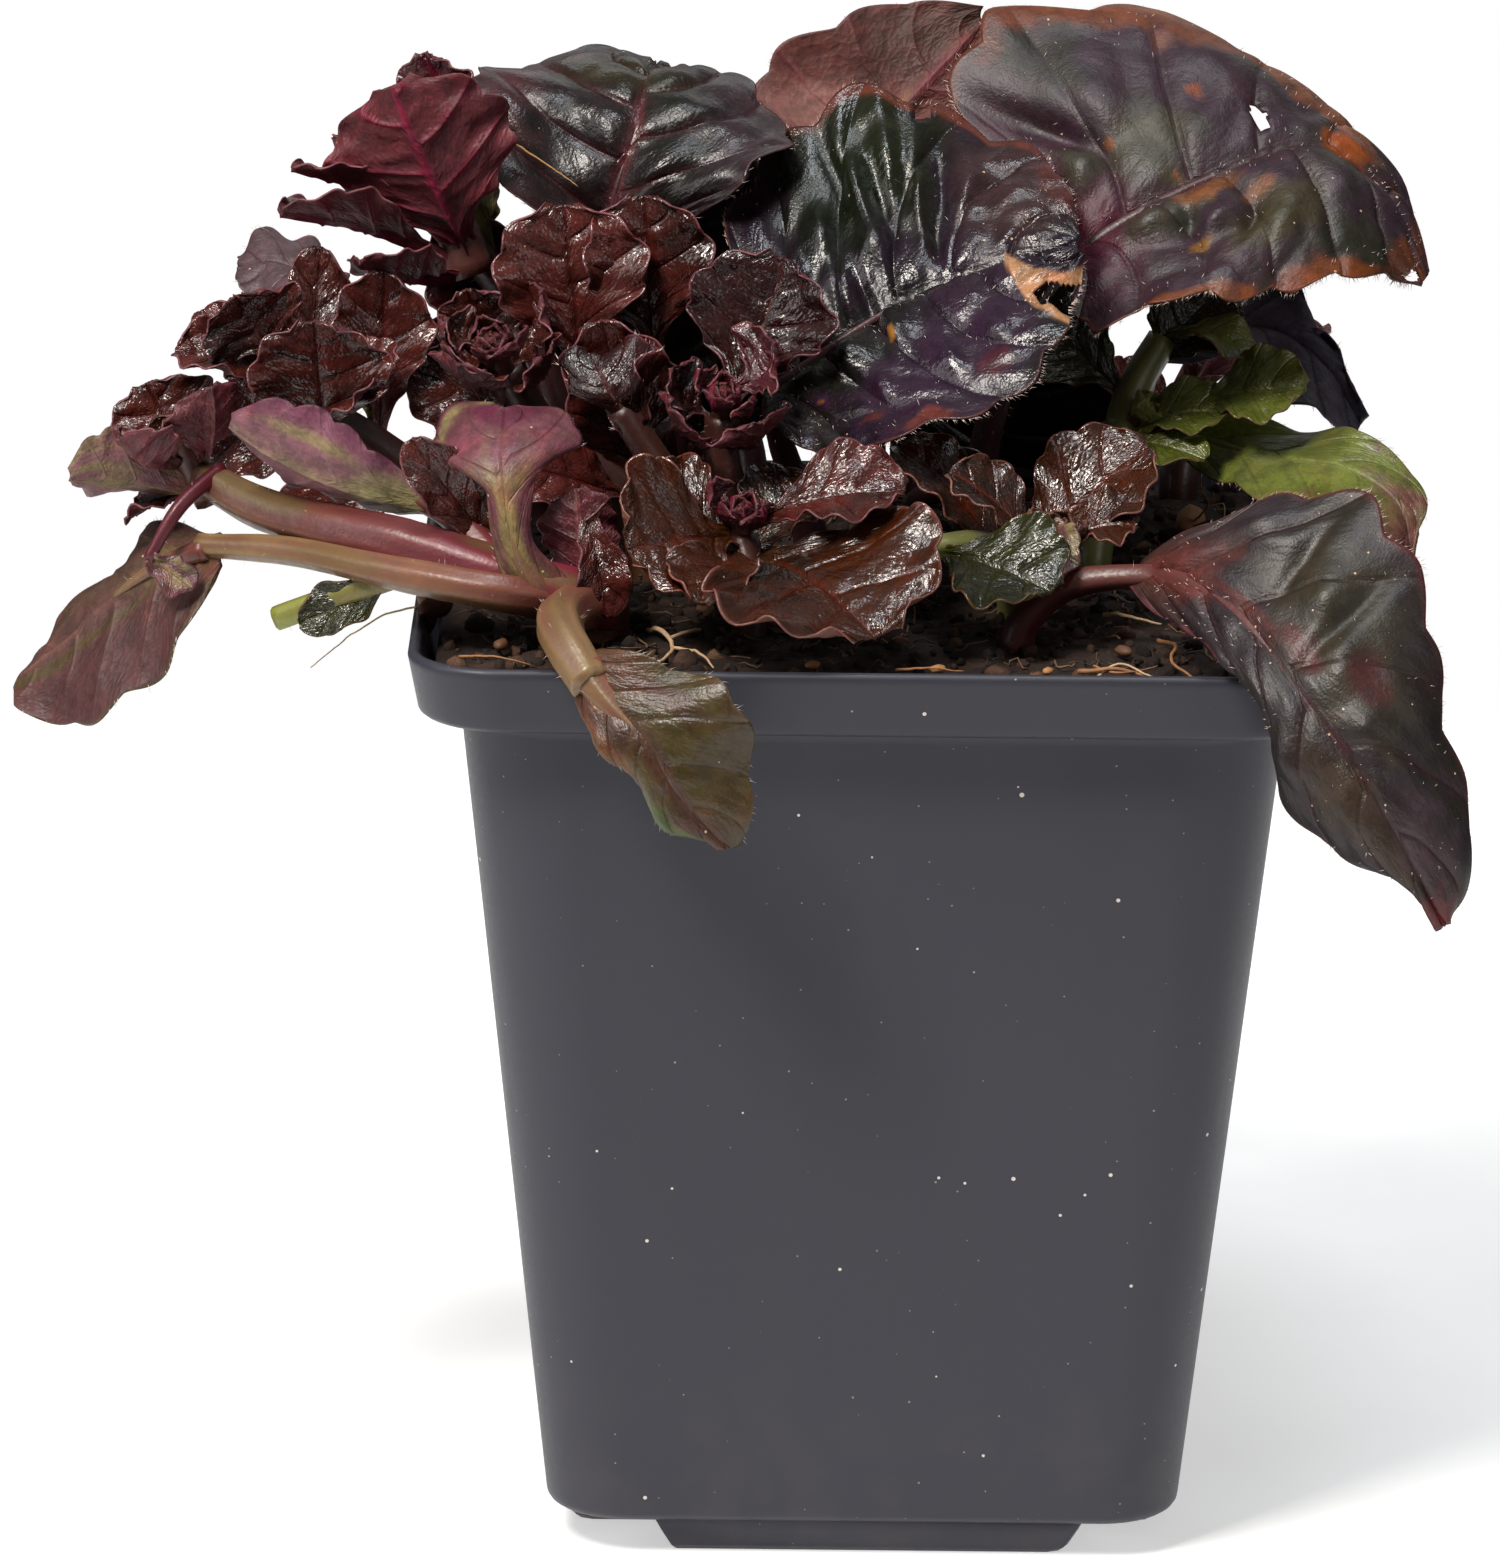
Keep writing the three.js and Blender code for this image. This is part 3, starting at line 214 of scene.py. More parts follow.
# The upper side and its deeper tint, the base, the margin and the veins, then the underside with its
# veins, and the streaks where there are any
LOOKS = {
    "slate": leaf_look(0.34, 0.65, (52, 35, 45), (36, 35, 24), (96, 34, 54), (112, 66, 50), (60, 40, 44),
                       (122, 84, 88), (150, 90, 100)),
    "night": leaf_look(0.9, 0.75, (33, 22, 33), (18, 22, 12), (44, 36, 26), (90, 56, 54), (24, 18, 20),
                       (104, 70, 76), (132, 84, 90)),
    "ink": leaf_look(0.75, 0.6, (30, 20, 21), (16, 18, 12), (70, 34, 40), (80, 56, 56), (90, 46, 50),
                     (96, 66, 70), (130, 80, 88)),
    "fall": leaf_look(0.42, 0.65, (38, 28, 32), (32, 28, 18), (92, 60, 54), (112, 66, 66), (70, 34, 36),
                      (118, 82, 86), (150, 100, 104)),
    "underside": leaf_look(0.3, 0.5, (60, 40, 44), (40, 30, 30), (96, 50, 54), (110, 76, 74), (60, 40, 40),
                           (104, 62, 58), (130, 76, 84)),
    "grey": leaf_look(0.3, 0.45, (92, 74, 78), (70, 56, 60), (100, 66, 70), (126, 100, 100), (80, 58, 62),
                      (106, 84, 86), (84, 62, 66)),
    "dusk": leaf_look(0.4, 0.5, (88, 84, 98), (60, 60, 68), (80, 68, 80), (96, 84, 98), (62, 58, 70),
                      (92, 86, 100), (112, 104, 118)),
    "green": leaf_look(0.6, 0.3, (114, 122, 66), (70, 78, 30), (128, 140, 70), (112, 84, 66),
                       (150, 160, 96), (134, 138, 84), (168, 172, 120)),
    "moss": leaf_look(0.75, 0.4, (44, 46, 16), (30, 30, 12), (70, 72, 30), (96, 66, 44), (58, 60, 26),
                      (96, 88, 56), (120, 110, 76)),
    "plum": leaf_look(0.65, 0.55, (84, 38, 44), (48, 22, 26), (110, 30, 52), (146, 104, 104), (110, 34, 56),
                      (98, 46, 52), (148, 46, 78)),
    # The first of these two looks has its face lightened as painted light, for the brightly lit rosettes on
    # the left; the second is the same look with its face, deeper tint and margin darkened as painted shade
    "bronze": leaf_look(0.95, 0.45, (86, 44, 40), (48, 24, 20), (74, 44, 28), (146, 100, 106), (70, 26, 22),
                        (100, 52, 58), (136, 90, 88)),
    "wine": leaf_look(0.95, 0.45, (46, 21, 21), (25, 12, 12), (74, 44, 28), (132, 84, 92), (70, 26, 22),
                      (100, 52, 58), (136, 90, 88)),
    "umber": leaf_look(0.85, 0.28, (62, 31, 18), (30, 17, 9), (88, 56, 26), (150, 106, 98), (92, 40, 24),
                       (112, 76, 66), (140, 96, 84)),
    "mauve": leaf_look(0.35, 0.25, (112, 70, 78), (92, 58, 60), (134, 96, 70), (92, 40, 62),
                       (150, 112, 106), (138, 100, 108), (170, 150, 140), (150, 140, 104)),
    "hanging": leaf_look(0.6, 0.4, (76, 52, 42), (54, 38, 28), (104, 66, 50), (104, 96, 70), (96, 70, 54),
                         (94, 62, 60), (120, 90, 82), (78, 70, 40)),
}

STEMS = {
    "dark": stem_look((70, 34, 38), (84, 44, 46), (48, 22, 26)),
    "magenta": stem_look((104, 24, 40), (110, 44, 56), (74, 16, 30)),
    "bronze": stem_look((92, 64, 40), (78, 40, 34), (60, 30, 24)),
    "pink": stem_look((112, 58, 50), (116, 64, 56), (86, 34, 38)),
    "pale": stem_look((138, 76, 64), (152, 124, 82), (116, 58, 60), (128, 100, 62), 7),
    "junction": stem_look((150, 34, 66), (122, 86, 62), (98, 44, 48), (116, 98, 60), 6),
    "stub": stem_look((140, 120, 64), (158, 164, 70), (120, 110, 60)),
    "green": stem_look((118, 116, 66), (132, 136, 76), (96, 96, 50)),
}


# Numbers, noise and curves

def seeded(seed):
    """Even numbers from 0 to 1, the same as the solids draw."""
    state = seed

    def draw():
        nonlocal state
        state = (state * 16807) % 2147483647
        return state / 2147483647
    return draw


def mix(a, b, t):
    return a + (b - a) * t


def smooth(x, low, high):
    t = np.clip((x - low) / (high - low), 0, 1)
    return t * t * (3 - 2 * t)


def unit(vector):
    vector = np.asarray(vector, float)
    return vector / (np.linalg.norm(vector, axis=-1, keepdims=True) + 1e-12)


def lattice(i, j, k, seed):
    """A fixed random number from 0 to 1 at each point of a whole-number lattice."""
    mixed = (i * 73856093) ^ (j * 19349663) ^ (k * 83492791) ^ (seed * 2654435761)
    mixed = (mixed ^ (mixed >> 13)) * 1274126177
    mixed = mixed ^ (mixed >> 16)
    return (mixed & 0xFFFFF) / 0xFFFFF


def noise(points, scale, seed=0, layers=2):
    """Smooth noise from -1 to 1 over points in millimetres, with bumps about 1/scale wide."""
    total = np.zeros(points.shape[:-1])
    weight = 0
    for layer in range(layers):
        p = points * scale * 2 ** layer + 100
        whole = np.floor(p).astype(np.int64)
        part = p - whole
        part = part * part * (3 - 2 * part)
        x, y, z = whole[..., 0], whole[..., 1], whole[..., 2]
        value = 0
        for step in itertools.product((0, 1), repeat=3):
            share = np.prod([np.abs(1 - step[axis] - part[..., axis]) for axis in range(3)], axis=0)
            value = value + share * lattice(x + step[0], y + step[1], z + step[2], seed + layer)
        total += (2 * value - 1) * 0.5 ** layer
        weight += 0.5 ** layer
    return total / weight


def quilting(places, seed):
    """Round swellings between a net of grooves, from 0 in a groove to 1 on top, over flat places."""
    whole = np.floor(places).astype(np.int64)
    spans = []
    for dx, dy in itertools.product((-1, 0, 1), repeat=2):
        i, j = whole[..., 0] + dx, whole[..., 1] + dy
        x = i + 0.5 + 0.8 * (lattice(i, j, 1, seed) - 0.5)
        y = j + 0.5 + 0.8 * (lattice(i, j, 2, seed) - 0.5)
        spans.append(np.hypot(x - places[..., 0], y - places[..., 1]))
    nearest = np.sort(np.stack(spans), axis=0)
    return smooth(nearest[1] - nearest[0], 0.0, 0.5)


def run_along(points):
    """The length of the way along points up to each of them."""
    steps = np.linalg.norm(np.diff(points, axis=0), axis=1)
    return np.concatenate([[0], np.cumsum(steps)])


class Curve:
    """The smooth curve through a few points that the solids use, found by its length."""

    DIVISIONS = 200

    def __init__(self, points):
        self.points = np.array(points, float)
        self.marks = np.linspace(0, 1, self.DIVISIONS + 1)
        self.lengths = run_along(self.raw(self.marks))

    def raw(self, t):
        """The places at even shares of the way from one point to the next."""
        points = self.points
        count = len(points)
        place = np.clip(t, 0, 1) * (count - 1)
        index = np.minimum(place.astype(int), count - 2)
        share = (place - index)[:, None]
        first = 2 * points[0] - points[1]
        last = 2 * points[-1] - points[-2]
        padded = np.vstack([first, points, last])
        p0, p1, p2, p3 = (padded[index + k] for k in range(4))
        d0, d1, d2 = (np.linalg.norm(b - a, axis=1) ** 0.5 for a, b in ((p0, p1), (p1, p2), (p2, p3)))
        d1 = np.where(d1 < 1e-4, 1, d1)
        d0 = np.where(d0 < 1e-4, d1, d0)[:, None]
        d2 = np.where(d2 < 1e-4, d1, d2)[:, None]
        d1 = d1[:, None]
        t1 = ((p1 - p0) / d0 - (p2 - p0) / (d0 + d1) + (p2 - p1) / d1) * d1
        t2 = ((p2 - p1) / d1 - (p3 - p1) / (d1 + d2) + (p3 - p2) / d2) * d1
        c2 = -3 * p1 + 3 * p2 - 2 * t1 - t2
        c3 = 2 * p1 - 2 * p2 + t1 + t2
        return p1 + t1 * share + c2 * share ** 2 + c3 * share ** 3

    def at(self, u):
        """The places at shares of the whole length."""
        u = np.atleast_1d(np.asarray(u, float))
        return self.raw(np.interp(u * self.lengths[-1], self.lengths, self.marks))


# Leaf surfaces, as in the solids: u runs along the midrib from base to tip, and v across it
# from -1 at the right margin to 1 at the left margin

def drawn_surface(rib, left, right):
    """A large leaf, drawn through its midrib and its two margins."""
    curves = [Curve(points) for points in (rib, left, right)]

    def surface(u, v):
        shape = np.broadcast(u, v).shape
        flat = np.broadcast_to(u, shape).ravel()
        m, l, r = (curve.at(flat).reshape(shape + (3,)) for curve in curves)
        across = np.broadcast_to(v, shape)[..., None]
        return m + (l - r) * across / 2 + ((l + r) / 2 - m) * across ** 2
    return surface


def spoon_surface(start, to, wide, face, arch=0, cup=0.3, waist=WAIST):
    """A small spoon-shaped leaf from one point to another, with its upper side towards face."""
    base = np.array(start, float)
    tip = np.array(to, float)
    along = unit(tip - base)
    look = np.array(face, float)
    look = unit(look - along * np.dot(look, along))
    control = (base + tip) / 2 + look * 2 * arch

    def surface(u, v):
        u, v = np.broadcast_arrays(u, v)
        t = u[..., None]
        place = (1 - t) ** 2 * base + 2 * t * (1 - t) * control + t ** 2 * tip
        way = unit(2 * (1 - t) * (control - base) + 2 * t * (tip - control))
        normal = unit(look - way * np.sum(look * way, -1, keepdims=True))
        side = np.cross(normal, way)
        swell = mix(waist, 1, smooth(u, 0.12, WIDEST))
        past = np.maximum(0, u - WIDEST) / (1 - WIDEST)
        half = (wide / 2 * swell * np.sqrt(np.maximum(0, 1 - past ** 2)))[..., None]
        across = v[..., None]
        return place + side * half * across + normal * cup * half * across ** 2
    return surface


def normals_of(surface, u, v, step=0.01):
    """The way out of the upper side of a surface at each place."""
    low = np.maximum(0, u - step)
    high = np.minimum(1, u + step)
    du = surface(high, v) - surface(low, v)
    dv = surface(u, v + step) - surface(u, v - step)
    return unit(np.cross(du, dv))


def waved_surface(surface, scallops, ruffle, waves, phase=0, crinkle=0, deep=SCALLOP, lobes=0):
    """The scalloped, waved form of a surface. With lobes, the scallops are even along the margin;
    crinkle puckers the margin between them."""
    marks = np.linspace(0, 1, 81)
    run = run_along(surface(marks, np.ones(len(marks))))

    def waved(u, v):
        u, v = np.broadcast_arrays(np.asarray(u, float), np.asarray(v, float))
        pace = np.interp(u, marks, run / run[-1]) * lobes if lobes else u * scallops
        edge = np.abs(v) ** 3
        tooth = np.abs(np.sin(math.pi * pace)) ** (0.8 if lobes else 1.2)
        reach = v * (1 + deep * edge * tooth)
        lift = ruffle * v * v * np.sin(2 * math.pi * waves * u + phase + np.where(v > 0, 0, 2))
        pinch = np.sin(2 * math.pi * pace + phase * 0.3) * np.abs(v) ** 4 * smooth(u, 0.1, 0.35)
        return surface(u, reach) + normals_of(surface, u, v) * (lift + crinkle * pinch)[..., None]
    return waved


# Meshes

def make_mesh(name, points, faces, tones, shines, veins):
    """A smooth mesh from points in millimetres, with a colour, a gloss and a vein place at each."""
    mesh = bpy.data.meshes.new(name)
    corners = np.concatenate([part.ravel() for part in faces])
    sizes = np.concatenate([np.full(len(part), part.shape[1]) for part in faces])
    mesh.vertices.add(len(points))
    mesh.vertices.foreach_set("co", (np.asarray(points) * MM).ravel())
    mesh.loops.add(len(corners))
    mesh.loops.foreach_set("vertex_index", corners)
    mesh.polygons.add(len(sizes))
    mesh.polygons.foreach_set("loop_start", np.cumsum(sizes) - sizes)
    mesh.update(calc_edges=True)
    mesh.polygons.foreach_set("use_smooth", np.ones(len(sizes), bool))
    colour = mesh.color_attributes.new("tone", "FLOAT_COLOR", "POINT")
    opaque = np.column_stack([np.clip(tones, 0, 1), np.ones(len(tones))])
    colour.data.foreach_set("color", opaque.ravel())
    shine = mesh.attributes.new("shine", "FLOAT", "POINT")
    shine.data.foreach_set("value", np.asarray(shines, float))
    layer = mesh.uv_layers.new(name="veins")
    layer.data.foreach_set("uv", np.asarray(veins, float)[corners].ravel())
    return mesh


def held_inside(points):
    """The points, eased back where they come near the sides and top of the box of the solids."""
    over = np.maximum(0, points - BOX_HIGH + EASE)
    points = points - over + EASE * (1 - np.exp(-over / EASE))
    under = np.maximum(0, BOX_LOW + EASE - points) * (1, 1, 0)
    return points + under - EASE * (1 - np.exp(-under / EASE))


class Bundle:
    """Points, faces and their colours, gathered from many parts into one mesh."""

    def __init__(self):
        self.points, self.tones, self.shines, self.veins = [], [], [], []
        self.faces, self.kinds = [], []
        self.count = 0

    def add(self, points, tones, shines=0.5, veins=None):
        """Takes points in, and gives back the number of the first of them."""
        points = np.asarray(points, float).reshape(-1, 3)
        total = len(points)
        self.points.append(points)
        self.tones.append(np.broadcast_to(tones, (total, 3)))
        self.shines.append(np.broadcast_to(shines, total))
        self.veins.append(np.zeros((total, 2)) if veins is None else veins)
        self.count += total
        return self.count - total

    def cover(self, faces, kind=0):
        """Takes faces in, with the number of their material."""
        faces = np.asarray(faces, int)
        if len(faces):
            self.faces.append(faces)
            self.kinds.append(np.full(len(faces), kind))

    def skin(self, rings, ends, tones, end_tones, shines, kind):
        """A closed skin through rings of points, with a fan to a point at each end."""
        rows, count = len(rings), len(rings[0])
        first = self.add(np.vstack(rings), tones, shines)
        caps = self.add(ends, end_tones, shines)
        ring = np.arange(count)
        after = (ring + 1) % count
        i, j = np.meshgrid(np.arange(rows - 1), ring, indexing="ij")
        a = first + i * count + j
        b = first + i * count + (j + 1) % count
        self.cover(np.stack([a, b, b + count, a + count], -1).reshape(-1, 4), kind)
        last = first + (rows - 1) * count
        self.cover(np.stack([np.full(count, caps), first + after, first + ring], -1), kind)
        self.cover(np.stack([np.full(count, caps + 1), last + ring, last + after], -1), kind)

    def make(self, name, materials):
        """One object of all the parts, kept within the box of the solids."""
        points = held_inside(np.vstack(self.points))
        mesh = make_mesh(name, points, self.faces, np.vstack(self.tones),
                         np.concatenate(self.shines), np.vstack(self.veins))
        for material in materials:
            mesh.materials.append(material)
        mesh.polygons.foreach_set("material_index", np.concatenate(self.kinds))
        piece = bpy.data.objects.new(name, mesh)
        bpy.context.scene.collection.objects.link(piece)
        return piece


def grid_quads(rows, columns, start=0, flip=False):
    """Faces of a grid of points with this many rows and columns of cells."""
    i, j = np.meshgrid(np.arange(rows), np.arange(columns), indexing="ij")
    a = start + i * (columns + 1) + j
    quads = np.stack([a, a + columns + 1, a + columns + 2, a + 1], -1).reshape(-1, 4)
    return quads[:, ::-1] if flip else quads


def add_tube(bundle, points, radii, sides, tones, shines, ribs=STEM_RIBS, rib_height=0.0, kind=SKIN):
    """A closed tube through points, with ribs along it as high as a share of its radius; gives back
    its rings."""
    points = np.asarray(points, float)
    radii = np.broadcast_to(radii, len(points))
    ways = unit(np.gradient(points, axis=0))
    side = np.array([1.0, 0, 0]) if abs(ways[0][0]) < 0.9 else np.array([0, 1.0, 0])
    angles = np.linspace(0, 2 * math.pi, sides, endpoint=False)
    swell = (1 + rib_height * np.cos(ribs * angles))[:, None]
    rings = []
    for place, way, radius in zip(points, ways, radii):
        side = unit(side - way * np.dot(side, way))
        out = np.cos(angles)[:, None] * side + np.sin(angles)[:, None] * np.cross(way, side)
        rings.append(place + radius * swell * out)
    tones = np.broadcast_to(tones, (len(points), sides, 3)).reshape(-1, 3)
    bundle.skin(rings, points[[0, -1]], tones, tones[[0, -1]], shines, kind)
    return np.array(rings)


# Leaves

def vein_pattern(u, v, laterals):
    """The place of each point between its side veins, then how strong the side veins, the midrib and
    the swellings between them are there."""
    w = u - VEIN_SWEEP * np.abs(v) ** 1.4 * (1 - 0.3 * u)
    phase = w * laterals + np.sign(v) * VEIN_STAGGER
    near = np.abs(phase - np.round(phase))
    reach = np.clip(np.abs(v), 0, 1)
    lateral = np.exp(-(near / (0.05 + 0.05 * reach)) ** 2) * smooth(w, -0.02, 0.06) * (1 - 0.5 * reach)
    midrib = np.exp(-(v / (0.055 * (1.25 - u))) ** 2)
    swell = np.sqrt(np.clip(np.sin(math.pi * near + 1e-6), 0, 1)) * smooth(np.abs(v), 0.0, 0.2)
    swell = swell * (1 - 0.65 * smooth(reach, 0.72, 1.0))
    return phase, lateral, midrib, swell


def tear_places(tears, u, v):
    """Where the blade is torn away, and where it is dry beside a tear."""
    gone, dry = np.zeros(u.shape, bool), np.zeros(u.shape)
    for apex_u, apex_v, low, high in tears:
        run = np.clip((apex_v - v) / (apex_v + 1), 0, 1)
        past = np.maximum(apex_u + low * run - u, u - apex_u - high * run)
        gone |= (past < -0.006) & (v < apex_v - 0.6)
        wide = np.where(u > apex_u + high * run, 0.012 + 0.04 * run, 0.008 + 0.018 * run)
        dry = np.maximum(dry, smooth(-past / wide, -1.0, -0.6) * (v < apex_v))
    return gone, dry


def spot(u, v, place_u, place_v, size_u, size_v):
    """How far each place is from the middle of an oval spot, squared, with 1 at its edge."""
    return ((u - place_u) / size_u) ** 2 + ((v - place_v) / size_v) ** 2


def blade_colours(look, u, v, points, upper, lateral, midrib, seed, patches, dry):
    """The colour of each place of a blade's upper side or underside."""
    broad = noise(points, 0.11, seed, 3)[..., None]
    fine = noise(points, 0.6, seed + 9, 2)[..., None]
    veins = np.clip(lateral * 0.55 + midrib, 0, 1)[..., None]
    edge = np.abs(v)[..., None]
    if upper:
        colour = mix(look["face"], look["deep"], smooth(broad + 0.35 * fine, -0.1, 0.6))
    else:
        colour = look["back"] * (1 + 0.12 * broad)
    colour = mix(colour, look["vein" if upper else "back_vein"], veins * 0.75)
    base = (1 - smooth(u, 0.02, 0.26))[..., None] * (1 - 0.6 * edge)
    colour = mix(colour, look["base"], base * 0.85)
    if "streak" in look:
        run = np.stack([v * 4.5, u * 1.6, np.full(u.shape, 0.3)], -1)
        streaks = 0.75 * smooth(noise(run, 1, seed + 3, 3), 0, 0.4)
        colour = mix(colour, look["streak"], streaks[..., None])
    uneven = 0.7 * fine[..., 0] + 0.7 * noise(points, 0.3, seed + 4, 2)
    for *place, tint, strength in patches:
        share = smooth(1.7 - spot(u, v, *place) * (1 + uneven), 0.0, 1.5)[..., None] * strength
        colour = mix(colour, srgb(*tint), np.clip(share, 0, 1))
    rim = smooth(edge, 0.975, 1.0)
    colour = mix(colour, look["margin"], rim * 0.7)
    colour = mix(colour, DRY * (1 + 0.35 * uneven[..., None]), dry[..., None])
    grey = colour.mean(-1, keepdims=True)
    colour = grey + (colour - grey) * DEPTH
    return np.clip(colour * (1 + 0.16 * fine) * OWN_SHARE, 0, 1)


def blade_relief(look, u, v, width, laterals, seed, young, forms):
    """How far each place of a blade is raised, the map its veins lie on, its side veins and midrib,
    and its cushions."""
    phase, lateral, midrib, swell = vein_pattern(u, v, laterals)
    fade = smooth(u, 0.0, 0.12) * (1 - 0.5 * smooth(u, 0.85, 1))
    height = look["pucker"] * (YOUNG_RELIEF if young else 1.0) * min(1, 0.25 + width / 36)
    vein_map = np.stack([phase, v * (1 + width / 20)], -1)
    cushions = quilting(vein_map * (YOUNG_QUILT if young else BROAD_QUILT) + QUILT_SHIFT, seed)
    broad = noise(vein_map @ np.eye(2, 3) + 30, 0.8, seed, 1)
    cushion = YOUNG_CUSHION if young else BROAD_CUSHION
    raised = swell * (0.6 + 0.4 * broad) + cushion * cushions * (1 - 0.6 * smooth(np.abs(v), 0.8, 1.0))
    raised = height * fade * (raised - 0.5 * lateral - 0.75 * midrib)
    for *place, rise in forms:
        raised = raised + rise * np.exp(-spot(u, v, *place))
    return raised, vein_map, lateral, midrib, cushions


def blade(bundle, surface, look_name, width, length, laterals, seed, patches=(), holes=(),
          detail=1.0, young=False, forms=(), tears=()):
    """One leaf blade: its two faces follow each other, and close along a thin rounded margin."""
    look = LOOKS[look_name]
    rows = max(14, int(detail * FINE * min(120, 12 + length * 2.6)))
    columns = 2 * max(6, int(detail * FINE * min(36, 4 + width * 0.85)))
    u = np.linspace(0, 1, rows + 1) ** 0.92 * TIP_END
    v = np.sin(np.linspace(-1, 1, columns + 1) * EDGE_PACKING) / math.sin(EDGE_PACKING)
    u, v = np.meshgrid(u, v, indexing="ij")
    middle = surface(u, v)
    normal = normals_of(surface, u, v)
    raised, vein_map, lateral, midrib, cushions = blade_relief(look, u, v, width, laterals, seed,
                                                               young, forms)
    middle = middle + normal * raised[..., None]
    thick = mix(BASE_BLADE, BLADE, smooth(u, 0, 0.15)) * (1 - 0.45 * np.abs(v) ** 6)
    keel = KEEL * np.exp(-(v / 0.07) ** 2) * (1 - u) ** 0.7 * min(1, width / 20)
    top = middle + normal * (thick / 2)[..., None]
    bottom = middle - normal * (thick / 2 + keel)[..., None]
    vein_map = vein_map.reshape(-1, 2)
    rim_shine = smooth(np.abs(v), 0.9, 1.0)
    shine = np.clip(look["gloss"] * (0.7 + 0.3 * cushions) + 0.1 * rim_shine, 0, 1)
    dry = tear_places(tears, u, v)[1]
    upper, under = (blade_colours(look, u, v, middle, face, lateral, midrib, seed, patches, dry)
                    for face in (True, False))
    cell_u = (u[:-1, :-1] + u[1:, 1:]) / 2
    cell_v = (v[:-1, :-1] + v[1:, 1:]) / 2
    gone = tear_places(tears, cell_u, cell_v)[0]
    ragged = 1 + 0.8 * noise(middle, 0.5, seed + 5, 2)[:-1, :-1]
    for hole in holes:
        gone |= spot(cell_u, cell_v, *hole) * ragged < 1
    first = bundle.add(top, upper.reshape(-1, 3), shine.ravel(), vein_map)
    second = bundle.add(bottom, under.reshape(-1, 3), (shine * 0.7).ravel(), vein_map)
    kept = ~gone.ravel()
    bundle.cover(grid_quads(rows, columns, first)[kept], YOUNG_FACE if young else BROAD_FACE)
    bundle.cover(grid_quads(rows, columns, second, flip=True)[kept], BACK)
    bundle.cover(blade_walls(gone, first, second), BACK)


def blade_walls(gone, first, second):
    """The narrow faces that join the two sides of a blade along its margin, tears and holes."""
    rows, columns = gone.shape
    ringed = np.pad(gone, 1, constant_values=True)
    i, j = np.meshgrid(np.arange(rows), np.arange(columns), indexing="ij")
    corner = i * (columns + 1) + j
    above = corner + columns + 1
    walls = []
    for open_side, start, end in ((ringed[1:-1, :-2], corner, above),
                                  (ringed[2:, 1:-1], above, above + 1),
                                  (ringed[1:-1, 2:], above + 1, corner + 1),
                                  (ringed[:-2, 1:-1], corner + 1, corner)):
        bare = open_side & ~gone
        s, e = start[bare], end[bare]
        walls.append(np.stack([first + s, second + s, second + e, first + e], -1))
    return np.vstack(walls)


# Hairs, stems, leaves and shoots

def add_bristles(bundle, roots, ways, lengths, girth):
    """Thin pale tapering hairs, each standing on its root."""
    ways = unit(ways)
    side = unit(np.cross(ways, ASKEW))
    across = np.cross(ways, side)
    corners = []
    for k in range(3):
        angle = 2 * math.pi * k / 3
        out = math.cos(angle) * side + math.sin(angle) * across
        corners.append(roots - ways * HAIR_SINK + girth * out)
    corners.append(roots + ways * lengths[:, None])
    first = bundle.add(np.stack(corners, 1), HAIR, 0.6)
    base = first + 4 * np.arange(len(roots))
    faces = [np.stack([base + a, base + b, base + c], -1)
             for a, b, c in ((0, 1, 3), (1, 2, 3), (2, 0, 3), (0, 2, 1))]
    bundle.cover(np.vstack(faces), HAIRS)


def leaf_hairs(bundle, surface, seed, margin, across):
    """Pale bristles along a leaf's margin, and shorter ones scattered over its upper side."""
    random = np.random.default_rng(seed)
    count = int(margin * FINE)
    u = random.uniform(0.12, 0.97, count)
    v = random.choice([-1.0, 1.0], count)
    roots = surface(u, v)
    out = unit(roots - surface(u, v * 0.9))
    ahead = unit(surface(np.minimum(u + 0.02, 1), v) - surface(u - 0.02, v))
    ways = out + 0.5 * ahead + random.normal(0, 0.3, (count, 3))
    add_bristles(bundle, roots, ways, random.uniform(0.5, 1, count) * HAIR_LENGTH, MARGIN_HAIR)
    count = int(across * FINE)
    u = random.uniform(0.08, 0.95, count)
    v = random.uniform(-0.93, 0.93, count)
    normal = normals_of(surface, u, v)
    roots = surface(u, v) + normal * 0.35
    ways = normal + random.normal(0, 0.4, (count, 3))
    lengths = random.uniform(0.4, 0.9, count) * HAIR_LENGTH * 0.8
    add_bristles(bundle, roots, ways, lengths, FACE_HAIR)


